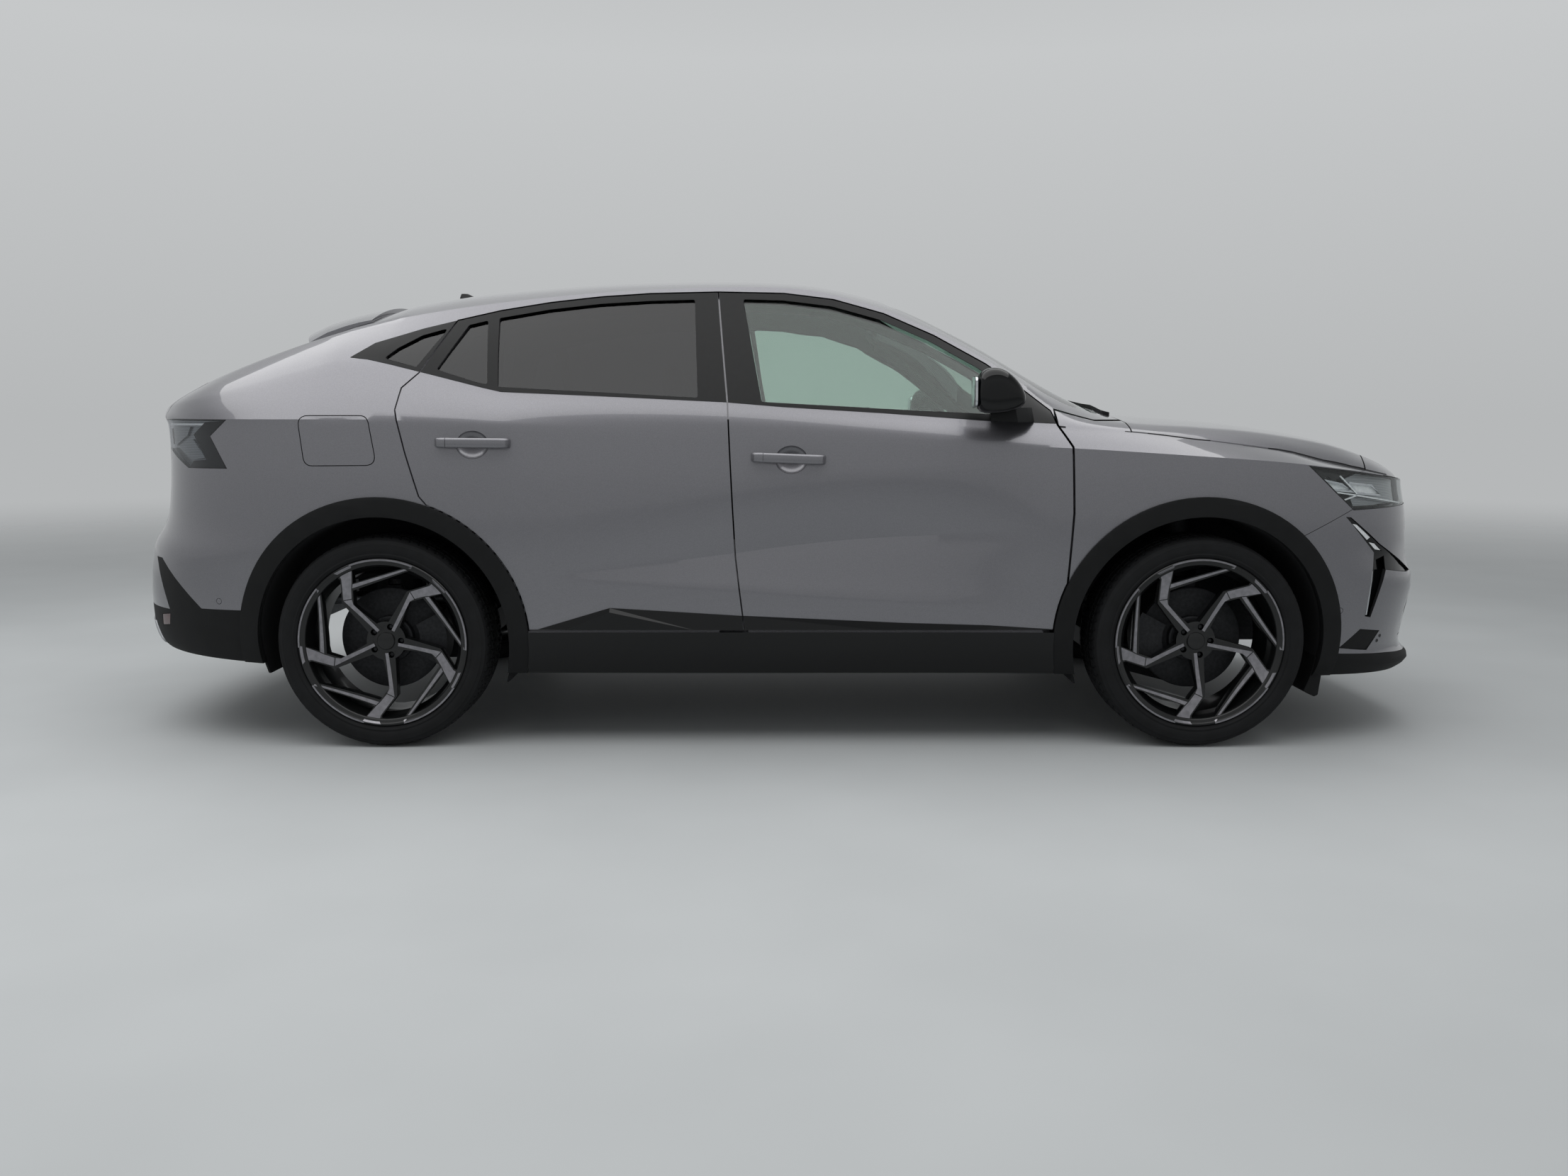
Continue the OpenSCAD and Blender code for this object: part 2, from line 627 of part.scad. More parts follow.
rail_y = 424;
module front_rails() color(metal) {
    difference() {
        union() {
            for (s = [-1, 1]) translate([bulkhead_x + fit, s > 0 ? rail_y : -rail_y - 40, 470]) cube([1172, 40, 150]);
            translate([2120 + fit, -466, 480]) cube([40, 932, 130]);
        }
        translate([2100, 300, 545]) rotate([0, 90, 0]) cylinder(r = 9, h = 80);
    }
}

module powertrain() color(metal) {
    translate([1290, -330, 270 + fit]) cube([560, 660, 590]);
}

module seat(y, w) {
    translate([0, y + w / 2, 0]) rotate([90, 0, 0]) linear_extrude(w) offset(r = 22, $fn = 32) offset(delta = -22)
        polygon([[330, 530], [-190, 500], [-270, 560], [-420, 1090], [-400, 1120], [-320, 1120], [-140, 650],
            [310, 680], [345, 640]]);
    translate([0, y + 125, 0]) rotate([90, 0, 0]) linear_extrude(250)
        polygon([[-415, 1118], [-440, 1290], [-420, 1310], [-360, 1300], [-335, 1118]]);
}

module front_seats() color(cloth) {
    for (y = [-370, 370]) {
        seat(y, 500);
        for (dy = [-170, 130]) translate([-160, y + dy, floor_z + fit]) cube([460, 40, 245]);
    }
}

module rear_seat() color(cloth) {
    for (y = [-610, 2]) translate([rear_axle_x + 714, y, 0]) rotate([90, 0, 0]) mirror([0, 0, 1]) linear_extrude(608)
        polygon([[60, 480 + fit], [70, 620], [20, 660], [-350, 640], [-520, 1110], [-590, 1120], [-600, 1090],
            [-470, 480 + fit]]);
}

module dashboard() color(plain_black) as_one_mesh() intersection() {
    body(wall + fit, plain_rows, plain_stations);
    from_both_sides() polygon([[bulkhead_x - 20 - fit, 720], [bulkhead_x - 20 - fit, 1040 + fit], [1100, 1056],
        [1100, 1078], [880, 1070], [760, 1052], [660, 1016], [610, 960], [650, 880], [720, 760], [800, 700],
        [bulkhead_x - 28, 700]]);
}

column_tilt = 24;
wheel_hub = [560, 370, 985];
module steering_wheel() color(plain_black) translate(wheel_hub) rotate([0, 90 + column_tilt, 0]) {
    rotate_extrude($fn = 64) translate([178, 0]) circle(15, $fn = 24);
    cylinder(r = 62, h = 40, center = true);
    for (a = [0, 90, 270]) rotate([0, 0, a]) translate([50, -18, -9]) cube([122, 36, 18]);
    cylinder(r = 24, h = 51);
}

module wipers() color(plain_black) as_one_mesh() {
    for (y = [-540, 60]) difference() {
        intersection() {
            body(-16);
            union() {
                translate([1154, y, 1000]) cylinder(r = 14, h = 300, $fn = 24);
                from_above(1000) polygon([[1146, y - 8], [1162, y - 8], [1122, y + 560], [1108, y + 560]]);
            }
        }
        difference() {
            body(-2, fine_rows, fine_stations);
            translate([1154, y, 1000]) cylinder(r = 12, h = 300, $fn = 24);
        }
        body(0);
    }
}

// In wheel space z = 0 is the wheel's middle plane, +z points outboard and +y up
module wheel_at(x, side) {
    translate([x, side * hub_y, axle_z]) rotate([90, 0, side > 0 ? 180 : 0]) children();
}

bead_r = 268;
module tyre() color("#151515") rotate_extrude($fn = 96) polygon([
    [bead_r + fit, 86], [bead_r + fit, 107], [lip_r + 0.6, 107.7], [lip_r + 8, 116], [308, tyre_w / 2 - 1],
    [322, tyre_w / 2], [339, tyre_w / 2 - 6], [351, tyre_w / 2 - 18], [tyre_r, tyre_w / 2 - 38],
    [tyre_r, 38 - tyre_w / 2], [351, 18 - tyre_w / 2], [339, 6 - tyre_w / 2], [322, -tyre_w / 2],
    [308, 1 - tyre_w / 2], [lip_r + 8, -116], [lip_r + 0.6, -107.7], [bead_r + fit, -107], [bead_r + fit, -86],
    [300, -100], [336, -96], [346, -70], [346, 70], [336, 96], [300, 100]]);

// Five twisted spokes, each a thin arm, a wide bar and a branch to the next one
spoke_plan = [[-44, 20], [-120.5, 125], [-122.8, 222], [-152, 224], [-140, 240], [-86.5, 262], [-87.5, 189],
    [94, 270], [125, 262], [-88, 169], [-90, 118], [-12, 46]];
module rim() color(metal) {
    rotate_extrude() polygon([[276, 117], [lip_r, 115], [lip_r, 108], [bead_r, 107.4], [bead_r, 84], [250, 70],
        [250, -72], [bead_r, -84], [bead_r, -107.4], [lip_r, -108], [lip_r, -115], [274, -117], [258, -96],
        [243, -70], [243, 66], [256, 84], [258, 100], [264, 110]]);
    intersection() {
        rotate_extrude() polygon([[0, 30], [0, 72], [58, 72], [110, 76], [190, 88], [262, 106], [262, 78],
            [190, 50], [110, 40], [58, 30]]);
        linear_extrude(130) for (k = [0:4]) rotate([0, 0, 72 * k]) polygon(spoke_plan);
    }
    difference() {
        translate([0, 0, 26]) cylinder(r = 66, h = 44);
        for (k = [0:4]) rotate([0, 0, 72 * k + 54]) translate([0, 50, 40]) cylinder(r = 11, h = 40);
    }
    translate([0, 0, 60]) cylinder(r = 30, h = 18);
    // Brake disc, its hat and the hub shaft
    translate([0, 0, -24]) cylinder(r = disc_r, h = 26);
    translate([0, 0, -24]) cylinder(r = 78, h = 51);
    translate([0, 0, -64]) cylinder(r = 22, h = 42);
}

kingpin_in = 60;
// Upright, hub carrier and brake caliper round one wheel's hub
module upright(caliper_turn) color(metal) difference() {
    union() {
        translate([0, 0, -92]) cylinder(r = 50, h = 60);
        translate([-24, -130, -kingpin_in - 20]) cube([48, 305, 40]);
        rotate([0, 0, caliper_turn]) {
            rotate_extrude(angle = 56) polygon([[100, -66], [196, -66], [196, 34], [104, 34], [104, 8], [182, 8],
                [182, -30], [100, -30]]);
            rotate([0, 0, 28]) translate([30, -24, -76]) cube([100, 48, 34]);
        }
    }
    translate([0, 0, -110]) cylinder(r = 23, h = 90);
}

knuckle_z = [axle_z - 130, axle_z + 175];
module front_suspension() color(metal) {
    translate([1200, -rail_y, 200]) cube([400, 2 * rail_y, 70]);
    for (x = [1210, 1530], s = [-1, 1]) translate([x, s * (rail_y - 20) - 20, 260]) cube([60, 40, 210 - fit]);
    for (s = [-1, 1]) mirror([0, s < 0 ? 1 : 0, 0]) {
        // Lower arm with its ball joint, upper arm, spring and damper
        difference() {
            translate([front_axle_x, 0, 190]) linear_extrude(32) polygon([[-190, rail_y - 30], [190, rail_y - 30],
                [190, rail_y + 10], [32, hub_y - kingpin_in + 22], [-32, hub_y - kingpin_in + 22], [-190, rail_y + 10]]);
            translate([front_axle_x, 0, 180]) linear_extrude(60) polygon([[-90, rail_y + 40], [90, rail_y + 40],
                [30, hub_y - 240], [-30, hub_y - 240]]);
        }
        translate([front_axle_x, hub_y - kingpin_in, 190]) cylinder(r = 20, h = knuckle_z[0] - 190 - fit);
        translate([front_axle_x, 0, knuckle_z[1] + fit]) linear_extrude(22) polygon([[-120, rail_y + 40 + fit],
            [-86, rail_y + 40 + fit], [0, hub_y - 110], [86, rail_y + 40 + fit], [120, rail_y + 40 + fit],
            [24, hub_y - kingpin_in + 22], [-24, hub_y - kingpin_in + 22]]);
        intersection() {
            union() {
                translate([front_axle_x, hub_y - 200, 210]) cylinder(r = 24, h = 700);
                translate([front_axle_x, hub_y - 200, 420]) cylinder(r = 46, h = 330);
            }
            // The liner above has flat facets, so the damper stops short of their middles
            translate([front_axle_x, 400, axle_z]) rotate([-90, 0, 0])
                cylinder(r = arch_r * cos(180 / 48) - fit, h = 400);
        }
    }
}

module rear_suspension() color(metal) {
    translate([rear_axle_x - 160, -480, 230]) cube([320, 960, 90]);
    for (s = [-1, 1]) {
        mirror([0, s < 0 ? 1 : 0, 0]) {
            for (x = [-150, 100]) translate([rear_axle_x + x, 420, 310]) cube([40, 40, boot_z - 330 - fit]);
            translate([rear_axle_x - 60, 470, 240]) cube([120, hub_y - 540, 34]);
            translate([rear_axle_x - 20, 470, 420]) cube([40, hub_y - 540, 26]);
            translate([rear_axle_x, 560, 270]) cylinder(r = 48, h = boot_z - 290 - fit);
        }
        wheel_at(rear_axle_x, s) upright(s > 0 ? 152 : -28);
    }
}

module knuckle(side) wheel_at(front_axle_x, side) upright(side > 0 ? -28 : 152);

module exhaust() color(metal) {
    translate([-2060, -330, 320]) cube([250, 660, 130]);
    for (y = [-200, 180]) translate([-1950, y, 440]) cube([30, 20, 100 - fit]);
    translate([-1820, 0, 385]) rotate([0, 90, 0]) cylinder(r = 26, h = 3110 - fit);
}

body_shell();
front_fenders();
hood();
front_bumper();
rear_bumper();
arch_cladding();
sill_covers();
front_door_at(1);  // door_front_left
front_door_at(-1);  // door_front_right
rear_door_at(1);  // door_rear_left
rear_door_at(-1);  // door_rear_right
side_glass(1, glass_tint) polygon(front_window);  // glass_front_left
side_glass(-1, glass_tint) polygon(front_window);  // glass_front_right
side_glass(1, dark_glass) rear_windows_shape();  // glass_rear_left
side_glass(-1, dark_glass) rear_windows_shape();  // glass_rear_right
mirror_at(1);  // mirror_left
mirror_at(-1);  // mirror_right
tailgate();
tailgate_glass();
tailgate_lamps();
spoiler();
fixed_glass();
headlamps();
tail_lamps();
grille();
floor_pan();
front_rails();
powertrain();
front_seats();
rear_seat();
dashboard();
steering_wheel();
wipers();
front_suspension();
rear_suspension();
knuckle(1);  // knuckle_left
knuckle(-1);  // knuckle_right
wheel_at(front_axle_x, 1) tyre();  // tyre_front_left
wheel_at(front_axle_x, -1) tyre();  // tyre_front_right
wheel_at(rear_axle_x, 1) tyre();  // tyre_rear_left
wheel_at(rear_axle_x, -1) tyre();  // tyre_rear_right
wheel_at(front_axle_x, 1) rim();  // rim_front_left
wheel_at(front_axle_x, -1) rim();  // rim_front_right
wheel_at(rear_axle_x, 1) rim();  // rim_rear_left
wheel_at(rear_axle_x, -1) rim();  // rim_rear_right
exhaust();
fuel_flap();
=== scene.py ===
import math

import bmesh
import bpy
import numpy as np
from mathutils import Matrix, Vector


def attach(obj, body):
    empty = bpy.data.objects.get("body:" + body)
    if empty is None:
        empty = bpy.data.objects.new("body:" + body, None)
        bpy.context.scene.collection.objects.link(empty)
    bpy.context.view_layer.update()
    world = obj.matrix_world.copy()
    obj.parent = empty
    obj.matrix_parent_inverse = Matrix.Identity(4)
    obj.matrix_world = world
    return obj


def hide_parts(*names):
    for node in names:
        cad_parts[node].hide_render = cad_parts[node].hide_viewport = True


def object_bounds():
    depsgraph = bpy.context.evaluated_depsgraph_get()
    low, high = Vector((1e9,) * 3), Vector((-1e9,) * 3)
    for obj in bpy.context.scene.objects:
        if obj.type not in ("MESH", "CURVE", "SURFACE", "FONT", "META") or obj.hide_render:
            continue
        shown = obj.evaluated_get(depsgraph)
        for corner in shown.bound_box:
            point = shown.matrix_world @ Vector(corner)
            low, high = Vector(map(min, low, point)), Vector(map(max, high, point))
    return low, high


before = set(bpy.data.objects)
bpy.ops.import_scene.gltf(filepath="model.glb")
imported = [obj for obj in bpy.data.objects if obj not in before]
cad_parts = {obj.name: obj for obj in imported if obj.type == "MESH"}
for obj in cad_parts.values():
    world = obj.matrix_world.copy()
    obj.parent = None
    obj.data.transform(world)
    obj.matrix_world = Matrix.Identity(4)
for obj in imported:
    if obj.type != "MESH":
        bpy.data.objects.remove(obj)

bl_info = {
    "name": "Coupe sport utility vehicle",
    "version": (1, 0, 0),
    "blender": (4, 5, 0),
    "location": "View3D > Sidebar > Car",
    "description": "Dresses the car's frame with finished panels, glass, lamps, wheels and trim",
    "category": "Object",
}

CAD_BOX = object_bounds()
MM = 0.001
FAR = 2600.0

# Body lines, the same as the frame's: [x, value] along the length, in millimetres
FRONT_AXLE_X = 1404.0
REAR_AXLE_X = -1334.0
AXLE_Z = 358.0
HUB_Y = 800.0
BOTTOM = [[-2355, 318], [-2150, 300], [-1760, 282], [-900, 250], [900, 246], [1780, 236], [2355, 214]]
SHOULDER = [[-2300, 1106], [-1839, 1102], [-1251, 1098], [-791, 1074], [11, 1042], [918, 1009], [1470, 975],
            [1698, 957], [2018, 918], [2300, 872]]
BELT = [[-2300, 1122], [-1896, 1186], [-1600, 1258], [-1444, 1294], [-1305, 1270], [-1158, 1234], [-994, 1193],
        [-928, 1180], [-597, 1166], [-184, 1145], [343, 1109], [916, 1074], [1193, 1056], [1480, 1022],
        [1707, 993], [1819, 966], [2018, 925], [2300, 876]]
RAIL = [[-2300, 1128], [-2228, 1146], [-2078, 1200], [-1896, 1270], [-1641, 1362], [-1444, 1420], [-1217, 1464],
        [-959, 1500], [-616, 1533], [-215, 1551], [60, 1545], [200, 1520], [353, 1475], [525, 1400], [698, 1304],
        [825, 1218], [919, 1150], [1010, 1110], [1193, 1088], [1604, 1060], [1884, 1018], [2052, 972],
        [2205, 918], [2300, 878]]
CROWN = [[-2300, 1140], [-2228, 1164], [-2078, 1226], [-1896, 1306], [-1705, 1380], [-1569, 1432], [-1444, 1500],
         [-1394, 1520], [-1191, 1557], [-1026, 1577], [-660, 1604], [-295, 1613], [11, 1606], [194, 1584],
         [432, 1522], [617, 1438], [747, 1370], [933, 1262], [1100, 1166], [1180, 1126], [1288, 1118],
         [1604, 1094], [1884, 1056], [2052, 1016], [2205, 944], [2300, 882]]
SIDE_WIDTH = [[-1700, 912], [-1334, 914], [-700, 903], [0, 900], [700, 902], [1404, 911], [1700, 908]]
BELT_WIDTH = [[-2300, 872], [-1896, 838], [-1600, 806], [-1444, 802], [-1305, 812], [-928, 852], [-184, 872],
              [600, 872], [916, 862], [1193, 832], [1480, 800], [1819, 798], [2300, 850]]
RAIL_WIDTH = [[-2300, 800], [-2078, 726], [-1896, 684], [-1641, 640], [-1444, 626], [-959, 634], [-215, 640],
              [200, 646], [525, 672], [698, 704], [825, 736], [919, 764], [1010, 774], [1193, 744], [1604, 686],
              [1884, 676], [2300, 740]]
SWELL = [[200, -62], [246, -34], [300, -12], [380, 2], [470, 8], [560, 12], [680, 20], [790, 22], [900, 18],
         [980, 11], [1060, 2], [1110, -4]]
NOSE = [[210, 2316], [238, 2352], [262, 2348], [300, 2310], [400, 2318], [500, 2338], [552, 2336], [606, 2308],
        [760, 2294], [872, 2272], [900, 2286]]
TAIL = [[300, -2290], [336, -2338], [447, -2355], [560, -2350], [612, -2340], [672, -2326], [730, -2286],
        [790, -2264], [944, -2250], [1080, -2256], [1110, -2268], [1150, -2274]]
NOSE_POWER = 3.1
TAIL_POWER = 2.9

# Creases pressed into the doors: the hollow's deepest line and the ridge below it, as [x, height]
HOLLOW = [[-740, 588], [-151, 658], [11, 680], [260, 705], [773, 730]]
RIDGE = [[-740, 576], [-368, 554], [-135, 543], [11, 529], [845, 470]]
HOLLOW_DEPTH = [[-740, 0], [-420, 14], [-80, 34], [380, 40], [640, 24], [880, 0]]


def along(table, x):
    """Smooth curve through a line's points, level beyond its ends."""
    t = np.asarray(table, float)
    n = len(t)
    x = np.clip(np.asarray(x, float), t[0, 0], t[-1, 0])
    i = np.clip(np.searchsorted(t[:, 0], x, side="right") - 1, 0, n - 2)
    a = np.clip(np.arange(n) - 1, 0, None)
    b = np.clip(np.arange(n) + 1, None, n - 1)
    slope = (t[b, 1] - t[a, 1]) / (t[b, 0] - t[a, 0])
    h = t[i + 1, 0] - t[i, 0]
    s = (x - t[i, 0]) / h
    return (t[i, 1] * (1 + 2 * s) * (1 - s) ** 2 + slope[i] * h * s * (1 - s) ** 2
            + t[i + 1, 1] * s * s * (3 - 2 * s) - slope[i + 1] * h * s * s * (1 - s))


def mix(a, b, s):
    return a + (b - a) * s


def hollow(x, z):
    """How far the door's side lies in from its plain swell, for the light-catching facet low on the doors."""
    deep, ridge, depth = along(HOLLOW, x), along(RIDGE, x), along(HOLLOW_DEPTH, x)
    above = np.clip(1 - (z - deep) / 230, 0, 1) ** 1.6
    facet = np.clip((z - ridge) / (deep - ridge), 0, 1)
    return np.where((x < -740) | (x > 880), 0, depth * np.where(z > deep, above, facet))


def section(x, v, turn, d):
    """Points of the body's sections: x, row v, how far the width turns in, and the inset d."""
    x, v, turn = np.broadcast_arrays(np.asarray(x, float), v, turn)
    zs, zb, zr, zc = along(SHOULDER, x), along(BELT, x), along(RAIL, x), along(CROWN, x)
    wide = along(SIDE_WIDTH, x)
    ys, yb, yr = wide + along(SWELL, zs), along(BELT_WIDTH, x), along(RAIL_WIDTH, x)
    z1 = mix(along(BOTTOM, x) - (40 if d > 0 else 0), zs - 0.3 * d, v)
    y1 = np.maximum(4, (wide + along(SWELL, z1) - hollow(x, z1)) * turn - d)
    s = v - 1
    z2 = mix(zs - 0.3 * d, zb - 0.5 * d, s)
    y2 = np.maximum(4, (mix(ys, yb, s) + 5 * np.sin(np.pi * np.clip(s, 0, 1))) * turn - d)
    s = v - 2
    z3 = mix(zb - 0.5 * d, zr - 0.9 * d, s)
    y3 = np.maximum(4, (mix(yb, yr, s) + 14 * np.sin(np.pi * np.clip(s, 0, 1))) * turn - mix(d, 0.85 * d, s))
    s = np.clip(4 - v, 0, 1)
    z4 = (zc - d) - ((zc - d) - (zr - 0.9 * d)) * s ** 2.3
    y4 = np.maximum(3, (yr * turn - 0.85 * d) * s)
    y = np.select([v <= 1, v <= 2, v <= 3], [y1, y2, y3], y4)
    z = np.select([v <= 1, v <= 2, v <= 3], [z1, z2, z3], z4)
    return x, y, z


def spread(a, b, n, last=True):
    return list(np.linspace(a, b, n, endpoint=last))


ROWS = spread(0, 1, 44, False) + spread(1, 2, 6, False) + spread(2, 3, 10, False) + spread(3, 3.95, 16)
RIDGE_ROW, HOLLOW_ROW = 16 / 44, 22 / 44
TURNS_REAR = spread(87, 4, 26)
TURNS_FRONT = spread(4, 87, 30)
MIDDLE = 108
PLAIN_ROWS = [0, 0.2, 0.4, 0.6, 0.8, 1, 2, 2.5, 3, 3.3, 3.7, 3.95]


def follow(rows, x, d):
    """Side rows moved so that one runs along the doors' ridge and one along the hollow's deepest line."""
    low, high = along(BOTTOM, x) - (40 if d > 0 else 0), along(SHOULDER, x) - 0.3 * d
    away = np.clip((-740 - x) / 400, 0, 1)
    ridge = (mix(along(RIDGE, x), 530, away) - low) / (high - low)
    deep = (mix(along(HOLLOW, x), 680, away) - low) / (high - low)
    a, b = RIDGE_ROW, HOLLOW_ROW
    return np.select([rows >= 1, rows <= a, rows <= b], [rows, rows * ridge / a, mix(ridge, deep, (rows - a) / (b - a))],
                     mix(deep, 1, (rows - b) / (1 - b)))


def body_arrays(d, fine=True):
    """The outside of the body as one closed mesh, smaller by d all round."""
    rear = np.radians(TURNS_REAR if fine else TURNS_REAR[::3])
    front = np.radians(TURNS_FRONT if fine else TURNS_FRONT[::3] + [87])
    middle = np.linspace(REAR_AXLE_X, FRONT_AXLE_X, MIDDLE + 1 if fine else 25)
    back = np.sin(rear)[:, None] ** (2 / TAIL_POWER)
    ahead = np.sin(front)[:, None] ** (2 / NOSE_POWER)
    turn = np.concatenate([np.cos(rear) ** (2 / TAIL_POWER), np.ones(len(middle)), np.cos(front) ** (2 / NOSE_POWER)])
    rows = np.array(ROWS if fine else PLAIN_ROWS)
    v = np.broadcast_to(rows, (len(turn), len(rows)))

    def place(v):
        low = np.clip(v, 0, 1)
        tail = np.where(v <= 1, along(TAIL, mix(318, 1106, low)), -2270.0)[:len(rear)] + d
        nose = np.where(v <= 1, along(NOSE, mix(214, 872, low)), mix(2272, 2296, (v - 1) / 3))[-len(front):] - d
        return np.concatenate([REAR_AXLE_X + (tail - REAR_AXLE_X) * back,
                               np.broadcast_to(middle[:, None], (len(middle), len(rows))),
                               FRONT_AXLE_X + (nose - FRONT_AXLE_X) * ahead])

    if fine:
        v = follow(v, place(v), d)
    x, y, z = section(place(v), v, turn[:, None], d)
    x = np.clip(x, CAD_BOX[0][0] / MM, CAD_BOX[1][0] / MM)
    z = np.clip(z, 0, CAD_BOX[1][2] / MM)
    nc, nr = x.shape
    right = np.stack([x, -y, z], axis=2).reshape(-1, 3)
    left = right * (1, -1, 1)
    m = nc * nr
    c, r = np.meshgrid(np.arange(nc - 1), np.arange(nr - 1), indexing="ij")
    a = (c * nr + r).ravel()
    side = np.stack([a, a + nr, a + nr + 1, a + 1], axis=1)
    other = np.stack([a + m, a + m + 1, a + m + nr + 1, a + m + nr], axis=1)
    r = np.arange(nr - 1)
    end0 = np.stack([r, r + 1, m + r + 1, m + r], axis=1)
    e = m - nr
    end1 = np.stack([e + r, m + e + r, m + e + r + 1, e + r + 1], axis=1)
    c = np.arange(nc - 1) * nr
    low = np.stack([c, m + c, m + c + nr, c + nr], axis=1)
    t = c + nr - 1
    high = np.stack([t, t + nr, m + t + nr, m + t], axis=1)
    return np.concatenate([right, left]), np.concatenate([side, other, end0, end1, low, high])


# Mesh helpers

def linear(hex_colour, alpha=1.0):
    """An sRGB hex colour as linear red, green, blue, alpha."""
    c = [int(hex_colour[i:i + 2], 16) / 255 for i in (1, 3, 5)]
    return [v / 12.92 if v <= 0.04045 else ((v + 0.055) / 1.055) ** 2.4 for v in c] + [alpha]


def new_object(name, verts, faces, mats=()):
    mesh = bpy.data.meshes.new(name)
    verts = np.asarray(verts, float) * MM
    mesh.from_pydata(verts.tolist(), [], [list(map(int, f)) for f in faces])
    mesh.update()
    obj = bpy.data.objects.new(name, mesh)
    bpy.context.scene.collection.objects.link(obj)
    for m in mats:
        mesh.materials.append(m)
    return obj


_bodies = {}


def body(d, fine=True, name="solid"):
    """A new object with the body's closed surface, inset by d."""
    key = (d, fine)
    if key not in _bodies:
        made = new_object("form", *body_arrays(d, fine))
        _bodies[key] = made.data
        bpy.data.objects.remove(made)
    obj = bpy.data.objects.new(name, _bodies[key].copy())
    bpy.context.scene.collection.objects.link(obj)
    return obj


def signed_area(p):
    return 0.5 * sum(p[i][0] * p[(i + 1) % len(p)][1] - p[(i + 1) % len(p)][0] * p[i][1] for i in range(len(p)))


def offset(points, d):
    """An outline moved out by d, with mitred corners."""
    p = [np.array(q, float) for q in points]
    if signed_area(p) < 0:
        p = p[::-1]
    out = []
    for i, q in enumerate(p):
        a, b = q - p[i - 1], p[(i + 1) % len(p)] - q
        a, b = a / np.linalg.norm(a), b / np.linalg.norm(b)
        na, nb = np.array([a[1], -a[0]]), np.array([b[1], -b[0]])
        out.append(q + (na + nb) * d / (1 + na @ nb))
    return out


def prism(outlines, plane, low, high, both=False):
    """A solid from flat outlines: plane "side" is [x, z] pushed along y, "top" [x, y] along z, "end" [y, z] along x."""
    verts, faces = [], []

    def place(u, w, h):
        return {"side": (u, h, w), "top": (u, w, h), "end": (h, u, w)}[plane]

    for points in outlines:
        p = [tuple(q) for q in points]
        if (signed_area(p) < 0) != (plane == "side"):
            p = p[::-1]
        for flip in ((1, -1) if both else (1,)):
            n, k = len(p), len(verts)
            for h in (low, high):
                verts += [np.array(place(u, w, h)) * (1, flip, 1) for u, w in p]
            ring = [tuple(range(k + n - 1, k - 1, -1)), tuple(range(k + n, k + 2 * n))]
            ring += [(k + i, k + (i + 1) % n, k + n + (i + 1) % n, k + n + i) for i in range(n)]
            faces += ring if flip > 0 else [f[::-1] for f in ring]
    return new_object("tool", verts, faces)


def circle(u, w, r, steps=32, squash=1.0):
    return [[u + r * math.cos(2 * math.pi * i / steps), w + r * squash * math.sin(2 * math.pi * i / steps)]
            for i in range(steps)]


def rounded(points, r, steps=6):
    """An outline with its corners rounded, each to radius r or as much as its sides allow."""
    p = [np.array(q, float) for q in points]
    out = []
    for i, q in enumerate(p):
        a, b = p[i - 1] - q, p[(i + 1) % len(p)] - q
        la, lb = np.linalg.norm(a), np.linalg.norm(b)
        half = math.acos(max(-1, min(1, a @ b / la / lb))) / 2
        back = min(r / math.tan(half), 0.45 * la, 0.45 * lb) if half < 1.5 else 0
        if back < 0.5:
            out.append(q)
            continue
        start, end = q + a / la * back, q + b / lb * back
        for k in range(steps + 1):
            s = k / steps
            out.append(mix(mix(start, q, s), mix(q, end, s), s))
    return out


def ribbon(points, width):
    """The outline of a line of points drawn with a width."""
    p = [np.array(q, float) for q in points]
    left, right = [], []
    for i, q in enumerate(p):
        a, b = p[max(i - 1, 0)], p[min(i + 1, len(p) - 1)]
        n = np.array([-(b - a)[1], (b - a)[0]])
        n *= width / 2 / np.linalg.norm(n)
        left.append(q + n)
        right.append(q - n)
    return left + right[::-1]


def outward(verts, faces):
    """The faces of a closed solid, all turned over if they face inward."""
    v = np.asarray(verts, float)
    volume = sum(v[f[0]] @ np.cross(v[f[i]], v[f[i + 1]]) for f in faces for i in range(1, len(f) - 1))
    return faces if volume > 0 else [tuple(f)[::-1] for f in faces]


def loft(rings):
    """A closed solid through rings of points."""
    verts = np.concatenate([np.asarray(r, float) for r in rings])
    n, last = len(rings[0]), len(rings) - 1
    faces = [(k * n + i, k * n + (i + 1) % n, (k + 1) * n + (i + 1) % n, (k + 1) * n + i)
             for k in range(last) for i in range(n)]
    faces += [tuple(range(n - 1, -1, -1)), tuple(range(last * n, last * n + n))]
    return new_object("loft", verts, outward(verts, faces))


def side_y(x, z):
    """Half width of the doors' outside at x and height z."""
    return along(SIDE_WIDTH, x) + along(SWELL, z) - hollow(np.asarray(x, float), np.asarray(z, float))


def relief(points, faces, back=6):
    """A low faceted moulding on the right side: points are [x, height, how far it stands out of the side]."""
    p = np.array(points, float)
    y = side_y(p[:, 0], p[:, 1])
    n = len(p)
    verts = np.concatenate([np.stack([p[:, 0], -(y + p[:, 2]), p[:, 1]], axis=1),
                            np.stack([p[:, 0], -(y - back), p[:, 1]], axis=1)])
    edges = [(f[i], f[(i + 1) % len(f)]) for f in faces for i in range(len(f))]
    solid = list(faces) + [tuple(i + n for i in f[::-1]) for f in faces]
    solid += [(b, a, a + n, b + n) for a, b in edges if (b, a) not in edges]
    return new_object("relief", verts, outward(verts, solid))


def bevelled(obj, width, segments=3, angle=40):
    mod = obj.modifiers.new("edge", "BEVEL")
    mod.width = width * MM
    mod.segments = segments
    mod.limit_method = "ANGLE"
    mod.angle_limit = math.radians(angle)
    return apply_mods(obj)


